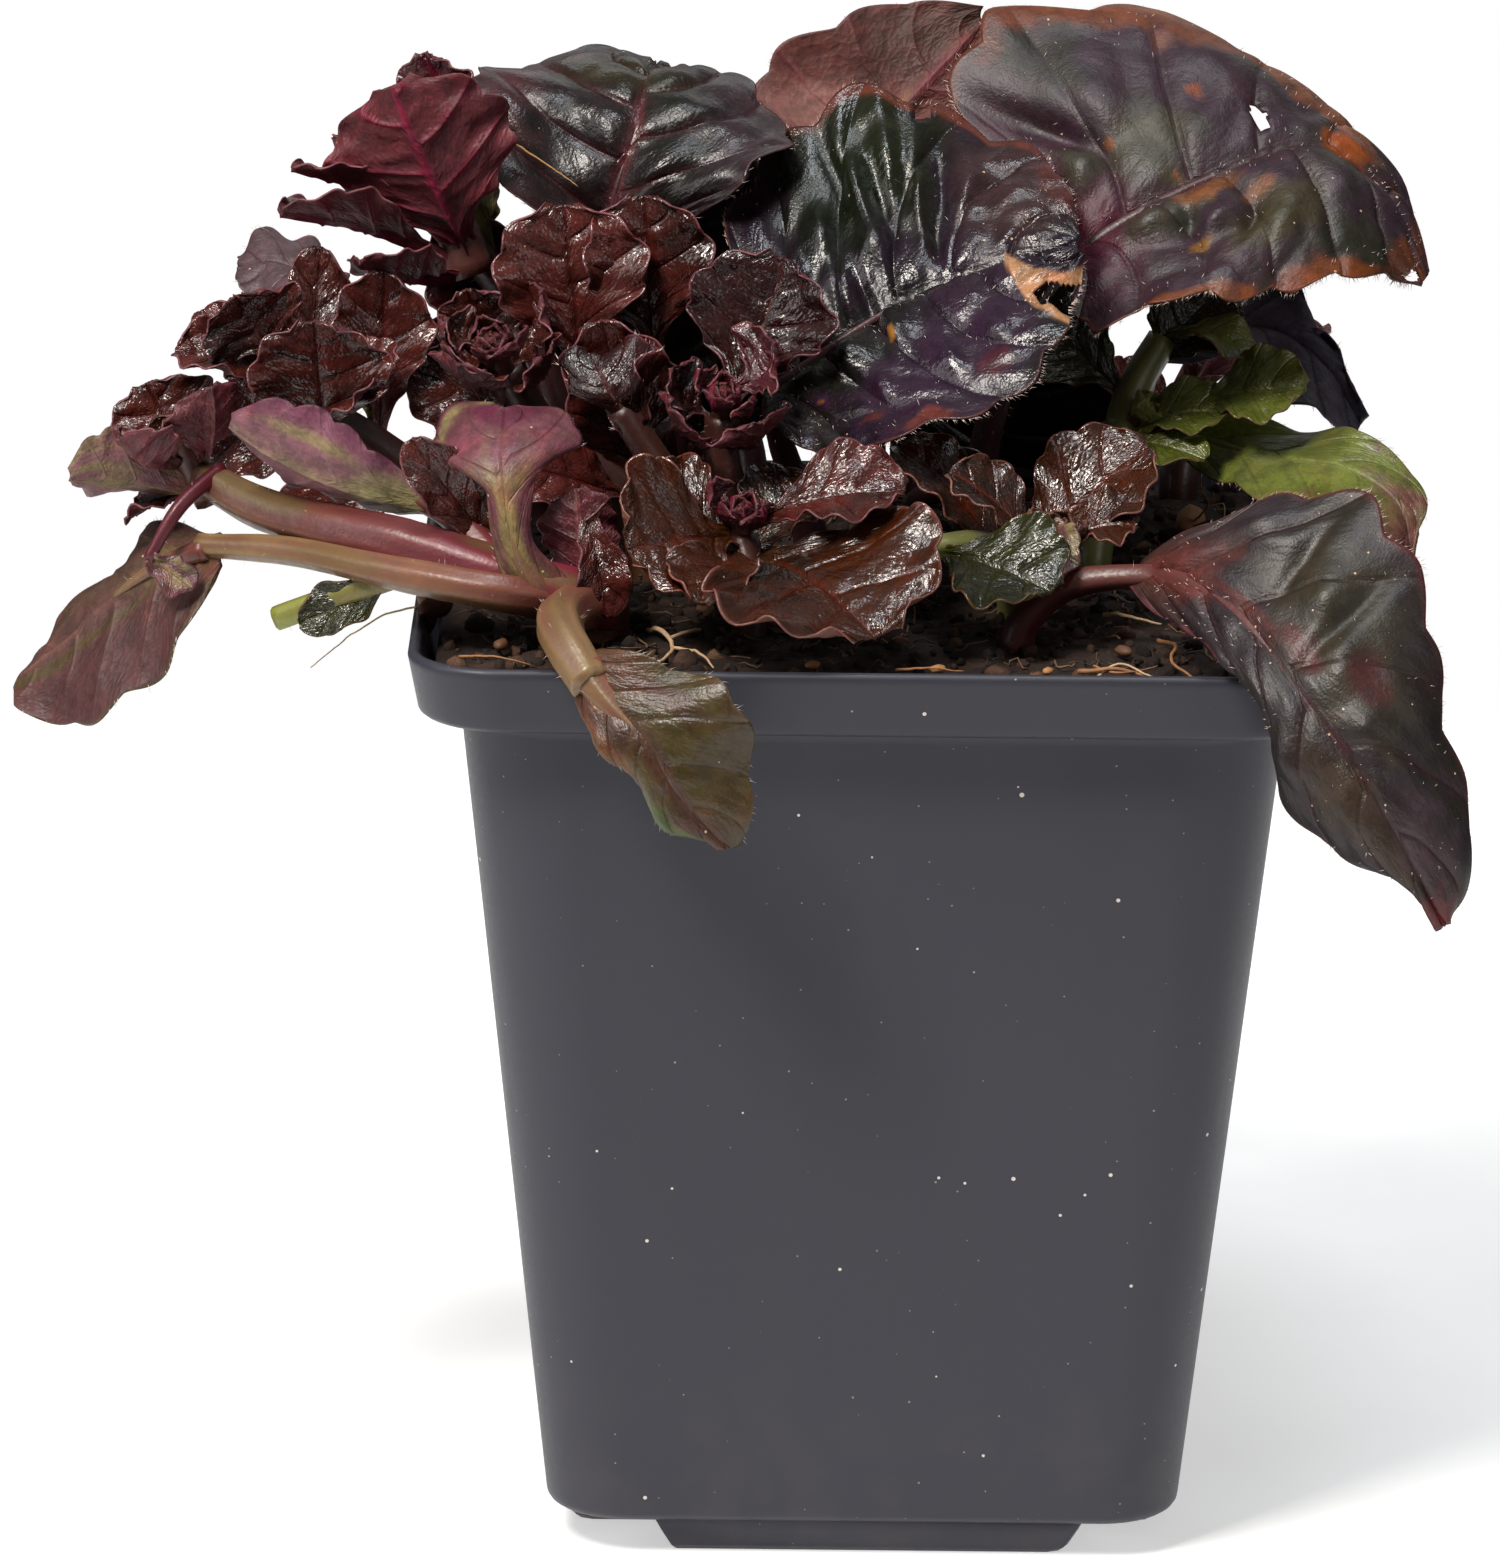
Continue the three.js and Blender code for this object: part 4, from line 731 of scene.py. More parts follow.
def stem(bundle, points, start, end, look_name, fuzz, seed):
    """A petiole or stem: ribs along it, darker grooves between them, and fine hairs."""
    look = STEMS[look_name]
    curve = Curve(points)
    length = curve.lengths[-1]
    ribs = look["ribs"]
    few = ribs == STEM_RIBS
    sides = STEM_SIDES if few else 4 * ribs
    steps = max(6, int(FINE * length / 0.8))
    u = np.linspace(0, 1, steps + 1)
    places = curve.at(u)
    radii = mix(start, end, u) * (1 + 0.05 * noise(places, 0.35, seed))
    angles = np.linspace(0, 2 * math.pi, sides, endpoint=False)
    colour = mix(look["foot"], look["end"], smooth(u, 0, 1)[:, None])
    groove = (0.5 - 0.5 * np.cos(ribs * angles))[None, :, None]
    shape = (steps + 1, sides)
    run = np.broadcast_to(u[:, None] * length * 0.12, shape)[..., None]
    around = np.broadcast_to(np.stack([np.cos(angles), np.sin(angles)], -1) * 1.6, (*shape, 2))
    streak = noise(np.concatenate([run, around], -1), 1, seed)[..., None]
    tones = mix(colour[:, None, :], look["groove"], np.clip(0.5 * groove + 0.7 * streak, 0, 1))
    if "flush" in look:
        broad = noise(np.concatenate([0.6 * run, around * 0.6], -1), 1, seed + 5)[..., None]
        tones = mix(tones, look["flush"], 0.8 * smooth(broad, 0.0, 0.35))
    tones = tones * (1 + 0.15 * noise(places, 0.5, seed + 2)[:, None, None]) * OWN_SHARE
    rings = add_tube(bundle, places, radii, sides, tones, 0.6, ribs, RIB_HEIGHT if few else MANY_RIBS_HEIGHT)
    random = np.random.default_rng(seed)
    count = int(fuzz * length * FINE)
    row = random.integers(0, steps, count)
    column = random.integers(0, sides, count)
    roots = rings[row, column]
    ways = unit(roots - places[row]) + random.normal(0, 0.25, (count, 3))
    add_bristles(bundle, roots, ways, random.uniform(0.3, 0.8, count), STEM_HAIR)


def rooted(run, foot=None):
    """The run of a stem, led up from its foot in the soil if it has one."""
    if foot is None:
        return run
    heights = (SOIL_LEVEL - ROOTING, SOIL_LEVEL - NECK_BELOW, SOIL_LEVEL + NECK_ABOVE)
    return [*((*foot, z) for z in heights), *run]


def large_leaf(bundle, leaf, seed):
    """A large leaf: its blade, and its petiole that runs on along the midrib."""
    plain = drawn_surface(leaf["rib"], leaf["left"], leaf["right"])
    surface = waved_surface(plain, leaf.get("scallops", 6), leaf.get("ruffle", LARGE_RUFFLE),
                            LARGE_WAVES)
    length = Curve(leaf["rib"]).lengths[-1]
    width = np.linalg.norm(plain(0.55, 1.0) - plain(0.55, -1.0))
    marks = {part: leaf.get(part, ()) for part in ("patches", "holes", "forms", "tears")}
    blade(bundle, surface, leaf["look"], width, length, leaf.get("laterals", 5), seed, **marks)
    along = np.array(RIB_PLACES)
    middle = np.zeros(len(along))
    under = plain(along, middle) - normals_of(plain, along, middle) * RIB_SINK
    run = rooted([*leaf.get("petiole", ()), *under.tolist()], leaf.get("foot"))
    stem(bundle, run, leaf.get("girth", PETIOLE_GIRTH), PETIOLE_END, leaf.get("stem", "dark"),
         LEAF_FUZZ, seed)
    leaf_hairs(bundle, surface, seed, leaf.get("margin_hairs", 60), leaf.get("face_hairs", 0))


def small_leaf(bundle, leaf, look_name, seed):
    """A small leaf: a spoon with a crinkled, scalloped margin."""
    width = leaf["wide"] * FULLNESS
    plain = spoon_surface(leaf["start"], leaf["to"], width, leaf["face"], leaf["arch"],
                          leaf.get("cup", 0.3), leaf.get("waist", WAIST))
    length = np.linalg.norm(np.subtract(leaf["to"], leaf["start"]))
    scallops = leaf.get("scallops", 2 if leaf["wide"] < NARROW_LEAF else 3)
    lobes = MARGIN_LOBES if width > 7 else FEWER_LOBES
    surface = waved_surface(plain, scallops, leaf.get("ruffle", SMALL_RUFFLE), SMALL_WAVES,
                            leaf.get("phase", 0), CRINKLE * width, SMALL_SCALLOP, lobes)
    blade(bundle, surface, leaf.get("look", look_name), width, length, SMALL_LATERALS, seed,
          leaf.get("patches", ()), detail=leaf.get("detail", 1), young=True)


def rosette(bundle, at, axis, length, seed, leaves, look, heart, pairs=1):
    """A rosette: the leaves of the solids round a short core, and curled young ones at its heart."""
    random = seeded(seed)
    centre = np.array(at, float)
    pole = unit(axis)
    east = unit(np.cross(ASKEW, pole))
    north = np.cross(pole, east)

    def leaning(angle, lean):
        out = east * math.cos(angle) + north * math.sin(angle)
        return out, pole * math.cos(lean) + out * math.sin(lean)

    young = []
    for pair in range(pairs):
        age = (pair + 1) / pairs
        for half in (0, 1):
            angle = pair * math.pi / 2 + half * math.pi + (random() - 0.5) * 0.5
            lean = mix(0.1, 0.55, age) + (random() - 0.5) * 0.2
            reach = length * mix(0.45, 0.8, age) * mix(0.9, 1.1, random())
            out, way = leaning(angle, lean)
            young.append(small(centre + way * reach, reach * 0.6, -0.16 * reach, cup=0.45, scallops=2,
                               ruffle=0.3, phase=6 * random(), look=heart))
    placed = []
    for leaf in young + leaves:
        way = unit(np.array(leaf["to"], float) - centre)
        rise = float(np.dot(way, pole))
        placed.append((rise, len(placed), leaf, unit(way - pole * rise)))
    placed.sort(key=lambda entry: entry[:2])
    radius = CORE * length
    for rank, (rise, number, leaf, out) in enumerate(placed):
        height = mix(-CORE_LENGTH, CORE_LENGTH, rank / (len(placed) - 1)) * radius
        start = centre + pole * height + out * BASE_PLACE * radius
        small_leaf(bundle, {"start": start, "face": pole, **leaf}, look, seed * 40 + number)
    steps = np.linspace(-1, 1, 9)
    half = (2 * CORE_LENGTH * radius + 1) / 2
    add_tube(bundle, centre + pole * steps[:, None] * half, radius * mix(1, 0.5, (steps + 1) / 2),
             CORE_SIDES, STEMS["bronze"]["end"], 0.5)
    top = centre + pole * CORE_LENGTH * radius
    fine = np.random.default_rng(seed)
    for number in range(HEART_LEAVES):
        reach = length * (0.22 + 0.035 * number)
        out, way = leaning(number * HEART_TURN + seed, 0.15 + 0.11 * number)
        start = top - pole * radius * 0.9 + out * 0.25 * radius
        leaf = small(top - pole * radius * 0.5 + way * reach, reach * 0.9, -0.25 * reach, start=start,
                     cup=0.6, face=pole, scallops=2, ruffle=0.2, phase=fine.uniform(0, 6), look=heart,
                     detail=0.7)
        small_leaf(bundle, leaf, look, seed * 40 + 20 + number)


def shoot(bundle, parts, seed):
    """A leafy shoot: its stems, its rosette, and the leaves that stand by themselves."""
    look = parts.get("look", "bronze")
    for number, run in enumerate(parts["stems"]):
        stem(bundle, rooted(run["points"], run.get("foot")), run["girth"], run["end"],
             run.get("look", parts.get("stem", "bronze")), SHOOT_FUZZ, seed + number)
    rosette(bundle, look=look, heart=parts.get("heart", look), **parts["rosette"])
    for number, leaf in enumerate(parts.get("drawn", [])):
        large_leaf(bundle, {"look": look, **leaf}, seed + 50 + number)
    for number, leaf in enumerate(parts.get("leaves", [])):
        small_leaf(bundle, leaf, look, seed + 70 + number)


# Crumbs and fibres on the peat: how many there are, their sizes and colours, and the share of each
CRUMB_COUNT = 1500
CRUMB_SIZES = [0.35, 0.55, 0.8, 1.25]
CRUMB_SIZE_SHARES = [0.4, 0.35, 0.2, 0.05]
CRUMBS = [srgb(34, 24, 19), srgb(56, 39, 30), srgb(84, 58, 43), srgb(104, 78, 56)]
CRUMB_SHARES = [0.5, 0.33, 0.15, 0.02]
FIBRE_COUNT = 520
FIBRES = [srgb(58, 40, 30), srgb(84, 60, 42), srgb(120, 88, 62), srgb(40, 28, 22)]
PALE_ROOT = srgb(190, 160, 126)
TAN_ROOT = srgb(150, 104, 66)

# Roots that show in the photograph: their points, girth and colour
ROOTS = [
    ([(-22, -27, 93.6), (-20.5, -30, 94.3), (-19.5, -34, 93.6), (-21, -39, 93.2)], 0.3, PALE_ROOT),
    ([(-20, -31.5, 94), (-17.5, -30, 94.4), (-15.5, -27.5, 93.8)], 0.24, PALE_ROOT),
    ([(-19.6, -33.5, 93.6), (-17, -36, 93.8), (-15.5, -39.5, 93.1)], 0.2, PALE_ROOT),
    ([(22.5, -21, 94.2), (24.5, -23, 94.6), (28, -24.5, 94.1)], 0.24, PALE_ROOT),
    ([(19.5, -40, 93.2), (22, -41.5, 93.9), (25, -41, 93.4), (28, -42, 92.9)], 0.26, TAN_ROOT),
    ([(20.5, -42, 93), (23.5, -40, 94), (26.5, -42, 93.3)], 0.18, PALE_ROOT),
    ([(21, -38.5, 93.4), (23, -42, 93.6), (27, -39, 93.6)], 0.16, TAN_ROOT),
    ([(27.5, -30, 93.9), (29, -34, 94.4), (28.5, -38, 93.8), (30.5, -42, 93.2)], 0.24, TAN_ROOT),
    ([(33, 19, 94.1), (34, 14, 97), (33, 9.5, 100.5), (33.6, 8.5, 103)], 0.13, TAN_ROOT),
    ([(34, 14.5, 96.6), (35.5, 11, 97.6), (35, 7, 94)], 0.1, PALE_ROOT),
    ([(-44.6, -20, 94), (-48, -20.5, 93.2), (-52, -21, 90.5), (-55, -21, 88)], 0.12, PALE_ROOT),
    ([(-36.6, 5.2, 135.6), (-33, 4.6, 133.4), (-29.6, 3.6, 131.2)], 0.12, srgb(176, 132, 84)),
    ([(2, -40, 93.2), (5, -41.5, 93.8), (8.5, -41, 93.4)], 0.16, TAN_ROOT),
    ([(-40, -38, 93.6), (-37, -40, 94.2), (-33, -40.5, 93.5)], 0.16, TAN_ROOT),
]

# Chips and scraps that show there: their place, their size each way, their turn and colour
CHIPS = [
    ((32.5, 20, 94), (1.6, 1.1, 1.5), 0.4, srgb(150, 108, 72)),
    ((6, -40, 93.4), (0.9, 0.5, 0.4), 0.3, srgb(160, 112, 60)),
    ((16.5, -40.5, 93.4), (0.7, 0.5, 0.4), 0.9, srgb(170, 120, 70)),
    ((-36, -34, 93.8), (1.1, 0.7, 0.6), 1.4, srgb(96, 62, 40)),
    ((-42.6, -23, 94.6), (1.9, 0.5, 1.0), 0.5, srgb(92, 54, 36)),
    ((-43.6, -22, 93.4), (0.5, 1.2, 1.7), 0.9, srgb(78, 46, 32)),
    ((-44, -20.6, 95), (1.2, 0.4, 0.9), 2.1, srgb(112, 68, 44)),
    ((24, -34, 93.8), (1.2, 0.6, 0.5), 2.2, srgb(96, 64, 42)),
    ((-6, -39, 93.4), (0.8, 0.6, 0.4), 0.7, srgb(140, 96, 60)),
]


# Pot and soil

def body_share(z):
    """How far up the body of the pot a height is, from 0 to 1."""
    return (z - BODY_LOW) / (COLLAR_LOW - BODY_LOW)


def body_width(z):
    return mix(BODY_FOOT_WIDTH, BODY_TOP_WIDTH, body_share(z))


def turned(angle):
    """The matrix that turns flat places by an angle."""
    c, s = math.cos(angle), math.sin(angle)
    return np.array([[c, -s], [s, c]])


def square_ring(width, corner, z, bow=0.0):
    """A square with round corners, anticlockwise; bow draws the middle of each side inwards."""
    corner_steps, side_steps = 14, 12
    reach = width / 2 - corner
    ring = []
    for quarter in range(4):
        angles = np.linspace(0, math.pi / 2, corner_steps + 1)
        arc = np.stack([reach + corner * np.cos(angles), reach + corner * np.sin(angles)], -1)
        share = np.arange(1, side_steps) / side_steps
        run = np.stack([reach - 2 * reach * share,
                        np.full(side_steps - 1, width / 2) - bow * np.sin(math.pi * share) ** 2], -1)
        ring.append(np.vstack([arc, run]) @ turned(quarter * math.pi / 2).T)
    ring = np.vstack(ring)
    return np.column_stack([ring, np.full(len(ring), z)])


def add_loft(bundle, rings, tones, shines=0.5):
    """A skin through rings of points, closed by a cap at each end."""
    tones = np.asarray(tones)
    ends = tones if tones.ndim == 1 else tones[[0, -1]]
    centres = np.stack([rings[0].mean(0), rings[-1].mean(0)])
    bundle.skin(rings, centres, tones, ends, shines, 0)


def cross_ring(arm, reach, z):
    """The outline of the pot's cross-shaped foot, its outer corners rounded."""
    a, r, c = arm / 2, reach / 2, FOOT_CORNER
    quarter = [(r, -a + c), (r, a - c), (r - 0.3 * c, a - 0.3 * c), (r - c, a), (a, a)]
    ring = np.vstack([np.array(quarter) @ turned(turn * math.pi / 2).T for turn in range(4)])
    return np.column_stack([ring, np.full(len(ring), float(z))])


def pot_rings():
    """Rings up the outside of the pot, over its rim, and down the inside to its floor, each as the
    width, the corner, the height and the bow of its square."""
    rings = []
    for share in (0, 0.25, 0.5, 0.75, 1):
        angle = share * math.pi / 2
        inset = BODY_EDGE * (1 - math.sin(angle))
        z = FOOT_HEIGHT + BODY_EDGE * (1 - math.cos(angle))
        rings.append((BODY_FOOT_WIDTH - 2 * inset, BODY_FOOT_CORNER - inset, z))
    for share in np.linspace(0.04, 0.985, 26):
        z = mix(BODY_LOW, COLLAR_LOW - 0.5, share)
        bow = 0.55 * math.sin(math.pi * share) ** 0.8
        rings.append((body_width(z), mix(BODY_FOOT_CORNER, BODY_TOP_CORNER, share), z, bow))
    rings += [(BODY_TOP_WIDTH, BODY_TOP_CORNER, COLLAR_LOW - 0.5),
              (BODY_TOP_WIDTH + 1.2, BODY_TOP_CORNER - 0.4, COLLAR_LOW - 0.15),
              (COLLAR_FOOT_WIDTH - 0.7, RIM_CORNER, COLLAR_LOW),
              (COLLAR_FOOT_WIDTH, RIM_CORNER, COLLAR_LOW + 0.35)]
    for share in np.linspace(0.1, 0.9, 9):
        z = mix(COLLAR_LOW, POT_HEIGHT - RIM_ROUND, share)
        rings.append((mix(COLLAR_FOOT_WIDTH, RIM_WIDTH, share), RIM_CORNER, z))
    for share in np.linspace(0, 1, 6):
        angle = share * math.pi
        inset = RIM_ROUND * (1 - math.cos(angle))
        z = POT_HEIGHT - RIM_ROUND + RIM_ROUND * math.sin(angle)
        rings.append((RIM_WIDTH - 2 * inset, RIM_CORNER - inset, z))
    shelf = COLLAR_LOW + WALL
    rings += [(COLLAR_FOOT_WIDTH - 2 * WALL, RIM_CORNER - WALL, shelf),
              (BODY_TOP_WIDTH - 2 * WALL, BODY_TOP_CORNER - WALL, shelf - 0.5)]
    for z in np.linspace(shelf - 3, FLOOR_TOP, 12):
        corner = mix(BODY_FOOT_CORNER, BODY_TOP_CORNER, body_share(z)) - WALL
        rings.append((body_width(z) - 2 * WALL, corner, z, 0.2))
    return [square_ring(*ring) for ring in rings]


def moulding_marks(points):
    """Faint ribs in the collar and flow lines low in the wall, as the moulding leaves them."""
    x, y, z = points.T
    out = np.zeros(len(points))
    across = np.where(np.abs(y) > np.abs(x), x, y)
    for place in (-4.2, 6.5, 17):
        out += 0.16 * np.exp(-((across - place) / 0.4) ** 2) * (z > COLLAR_LOW + 0.5)
    for place in (-19, 16.5):
        out += 0.05 * np.exp(-((across - place) / 0.8) ** 2) * (z < 32) * (z > BODY_LOW)
    return out


def make_pot(material):
    """The pot, its foot below it and four drain holes through its floor."""
    bundle = Bundle()
    rings = pot_rings()
    skin = np.vstack(rings)
    outward = unit(skin * [1, 1, 0])
    skin = skin - outward * moulding_marks(skin)[:, None]
    skin[:, :2] *= 1 - 0.0008 * (1 + noise(skin, 0.03, 4))[:, None]
    add_loft(bundle, skin.reshape(len(rings), -1, 3), POT_TONE)
    steps = [(FOOT_ARM_BASE - 1, FOOT_REACH_BASE - 1, 0), (FOOT_ARM_BASE, FOOT_REACH_BASE, 0.5),
             (mix(FOOT_ARM_BASE, FOOT_ARM, 0.5), mix(FOOT_REACH_BASE, FOOT_REACH, 0.5), 2.2),
             (FOOT_ARM, FOOT_REACH, FOOT_HEIGHT + WALL / 2)]
    add_loft(bundle, [cross_ring(*step) for step in steps], POT_TONE)
    pot = bundle.make("pot_shell", [material])
    for x, y in itertools.product((-DRAIN_PLACE, DRAIN_PLACE), repeat=2):
        bpy.ops.mesh.primitive_cylinder_add(vertices=28, radius=DRAIN_RADIUS * MM, depth=DRAIN_CUT * MM,
                                            location=(x * MM, y * MM, FLOOR_TOP * MM))
        cutter = bpy.context.object
        cut = pot.modifiers.new("drain", "BOOLEAN")
        cut.object = cutter
        cut.solver = "FAST"
        with bpy.context.temp_override(object=pot, active_object=pot):
            bpy.ops.object.modifier_apply(modifier=cut.name)
        bpy.data.objects.remove(cutter)
    return pot


def soil_height(x, y):
    """The height of the soil at a place: a low mound, clods and crumbs."""
    points = np.stack([x, y, np.zeros_like(x)], -1)
    half = COLLAR_FOOT_WIDTH / 2 - WALL - GAP
    away = np.maximum(np.abs(x), np.abs(y)) / half
    mound = SOIL_MOUND * (1 - np.minimum(1, away) ** 2)
    clods = 0.55 * noise(points, 0.16, 21, 3) + 0.5 * noise(points, 0.55, 22, 2)
    crumbs = 0.3 * np.abs(noise(points, 1.5, 23, 2))
    return SOIL_LEVEL + mound + SOIL_GRAIN * (clods + crumbs) * (1 - 0.6 * smooth(away, 0.9, 1.0))


def inside(width):
    """The width of the peat where the pot is this wide."""
    return width - 2 * WALL - 2 * GAP


def add_peat(bundle, rim):
    """The block of peat, with its rough top."""
    low, high = inside(body_width(FLOOR_TOP)), inside(body_width(COLLAR_LOW)) - 1.4
    rings = [square_ring(low, BODY_FOOT_CORNER - WALL, FLOOR_TOP + GAP),
             square_ring(high, BODY_TOP_CORNER - WALL, COLLAR_LOW + WALL - 0.5),
             square_ring(rim, RIM_CORNER - WALL, COLLAR_LOW + WALL + GAP),
             square_ring(rim, RIM_CORNER - WALL, SOIL_LEVEL - 0.6)]
    for scale in np.linspace(0.985, 0.02, int(70 * FINE)):
        ring = square_ring(rim * scale, RIM_CORNER * scale, 0)
        ring[:, 2] = soil_height(ring[:, 0], ring[:, 1])
        rings.append(ring)
    shade = noise(np.vstack(rings), 0.45, 31, 3)[:, None]
    add_loft(bundle, rings, mix(DEEP_PEAT, PEAT, smooth(shade, -0.2, 0.7)), 0.1)


def round_lump():
    """A small round lump of flat faces, which the crumbs are squeezed and turned from."""
    bpy.ops.mesh.primitive_ico_sphere_add(subdivisions=2, radius=1)
    ball = bpy.context.object
    points = np.array([vertex.co for vertex in ball.data.vertices])
    faces = np.array([list(face.vertices) for face in ball.data.polygons])
    bpy.data.objects.remove(ball)
    return points, faces


def add_crumb(bundle, random, half, lump, lump_faces):
    """A crumb of peat of a drawn size and colour, lying anywhere on the soil."""
    x, y = random.uniform(-1, 1, 2) * (half - 1.2)
    size = random.choice(CRUMB_SIZES, p=CRUMB_SIZE_SHARES)
    shape = random.uniform(0.6, 1.3, 3) * size
    spin = np.linalg.qr(random.normal(size=(3, 3)))[0]
    points = (lump * (1 + random.uniform(-0.22, 0.22, len(lump)))[:, None] * shape) @ spin
    points = points + [x, y, float(soil_height(np.array([x]), np.array([y]))[0]) + 0.1 * size]
    bright = random.uniform(0.6, 1.5)
    tone = CRUMBS[random.choice(len(CRUMBS), p=CRUMB_SHARES)] * bright
    bundle.cover(bundle.add(points, tone, 0.1) + lump_faces, CRUMB)


def add_fibre(bundle, random, half):
    """A short thin root of a drawn length and colour, lying anywhere on the soil."""
    x, y = random.uniform(-1, 1, 2) * (half - 2)
    turn, reach = random.uniform(0, 2 * math.pi), random.uniform(1.2, 4.5)
    t = np.linspace(-0.5, 0.5, 6)
    px = np.clip(x + reach * t * math.cos(turn) + random.normal(0, 0.25, 6), 1 - half, half - 1)
    py = np.clip(y + reach * t * math.sin(turn) + random.normal(0, 0.25, 6), 1 - half, half - 1)
    pz = soil_height(px, py) + 0.35 + random.normal(0, 0.2, 6)
    tone = FIBRES[random.integers(len(FIBRES))] * random.uniform(0.6, 1.3)
    add_tube(bundle, np.stack([px, py, pz], -1), random.uniform(0.05, 0.13), 4, tone, 0.2, kind=FIBRE)


def add_root(bundle, points, girth, tone):
    """A wavering root through drawn points."""
    curve = Curve(points)
    u = np.linspace(0, 1, max(8, int(curve.lengths[-1] / 0.5)) + 1)
    places = curve.at(u)
    places = places + 0.18 * np.stack([noise(places, 0.8, seed) for seed in (41, 42, 43)], -1)
    add_tube(bundle, places, girth * mix(1, 0.45, u), 7, tone, 0.3, kind=FIBRE)


def make_soil(materials):
    """The peat, with the crumbs, fibres, roots and chips that lie on it."""
    bundle = Bundle()
    random = np.random.default_rng(SOIL_SEED)
    rim = inside(COLLAR_FOOT_WIDTH)
    add_peat(bundle, rim)
    lump, lump_faces = round_lump()
    for _ in range(int(CRUMB_COUNT * FINE)):
        add_crumb(bundle, random, rim / 2, lump, lump_faces)
    for _ in range(int(FIBRE_COUNT * FINE)):
        add_fibre(bundle, random, rim / 2)
    for points, girth, tone in ROOTS:
        add_root(bundle, points, girth, tone)
    for place, size, turn, tone in CHIPS:
        points = lump * size * (1 + random.uniform(-0.15, 0.15, len(lump)))[:, None]
        points[:, :2] = points[:, :2] @ turned(-turn)
        bundle.cover(bundle.add(points + place, tone, 0.2) + lump_faces, FIBRE)
    return bundle.make("peat", materials)


# Materials: the colour comes from the points of each mesh, and the fine grain from nodes

class Nodes:
    """A short way to write a node tree."""

    def __init__(self, name):
        self.material = bpy.data.materials.new(name)
        self.material.use_nodes = True
        self.tree = self.material.node_tree
        self.shader = self.tree.nodes["Principled BSDF"]

    def put(self, socket, value):
        if isinstance(value, bpy.types.NodeSocket):
            self.tree.links.new(value, socket)
        else:
            socket.default_value = value

    def add(self, kind, settings=None, **inputs):
        """A new node; an underscore in the name of an input stands for a space."""
        node = self.tree.nodes.new(kind)
        for key, value in (settings or {}).items():
            setattr(node, key, value)
        for key, value in inputs.items():
            self.put(node.inputs[key.replace("_", " ")], value)
        return node

    def calc(self, operation, a, b=0.0):
        node = self.add("ShaderNodeMath", {"operation": operation})
        self.put(node.inputs[0], a)
        self.put(node.inputs[1], b)
        return node.outputs[0]

    def sum(self, a, a_weight, b, b_weight):
        """The sum of two values, each times its weight."""
        return self.calc("ADD", self.calc("MULTIPLY", a, a_weight), self.calc("MULTIPLY", b, b_weight))

    def range(self, value, low, high, to_low, to_high):
        """The value carried from one range to another, and held within it."""
        node = self.add("ShaderNodeMapRange", {"clamp": True}, Value=value, From_Min=low, From_Max=high,
                        To_Min=to_low, To_Max=to_high)
        return node.outputs[0]

    def mix_colour(self, share, a, b, blend="MIX"):
        node = self.add("ShaderNodeMix", {"data_type": "RGBA", "blend_type": blend})
        for number, value in ((0, share), (6, a), (7, b)):
            self.put(node.inputs[number], value)
        return node.outputs[2]

    def tinted(self, colour, by, low, high, most, red, green, blue):
        """A colour times a tint, from not at all where by is low to the most where it is high."""
        share = self.range(by, low, high, 0.0, most)
        return self.mix_colour(share, colour, (red, green, blue, 1), "MULTIPLY")

    def attribute(self, name, output="Fac"):
        return self.add("ShaderNodeAttribute", {"attribute_name": name}).outputs[output]

    def tone(self):
        return self.attribute("tone", "Color")

    def place(self):
        return self.add("ShaderNodeTexCoord").outputs["Object"]

    def noise(self, vector, scale, detail, roughness=0.55):
        node = self.add("ShaderNodeTexNoise", Vector=vector, Scale=scale, Detail=detail,
                        Roughness=roughness)
        return node.outputs[0]

    def dots(self, vector, scale):
        """How far each place is from the nearest of many dots, and a random colour for that dot."""
        outputs = self.add("ShaderNodeTexVoronoi", Vector=vector, Scale=scale).outputs
        return outputs["Distance"], outputs["Color"]

    def spots(self, vector, scale, least, size):
        """Where there is a round spot: on each dot with a random number above the least, and larger
        for a higher number."""
        far, colour = self.dots(vector, scale)
        which = self.add("ShaderNodeSeparateColor", Color=colour).outputs[0]
        return self.calc("LESS_THAN", far, self.range(which, least, 1.0, 0.0, size))

    def net(self, vector, fineness):
        """How far each place on a flat map is from the lines of a net."""
        spread = self.add("ShaderNodeMapping", Vector=vector, Scale=(*fineness, 1)).outputs[0]
        settings = {"feature": "DISTANCE_TO_EDGE", "voronoi_dimensions": "2D"}
        return self.add("ShaderNodeTexVoronoi", settings, Vector=spread, Scale=1.0).outputs["Distance"]

    def bump(self, height, strength, distance, under=None):
        node = self.add("ShaderNodeBump", Height=height, Strength=strength, Distance=distance)
        if under is not None:
            self.put(node.inputs["Normal"], under)
        return node.outputs[0]

    def finish(self, **sockets):
        for key, value in sockets.items():
            self.put(self.shader.inputs[key.replace("_", " ")], value)
        return self.material


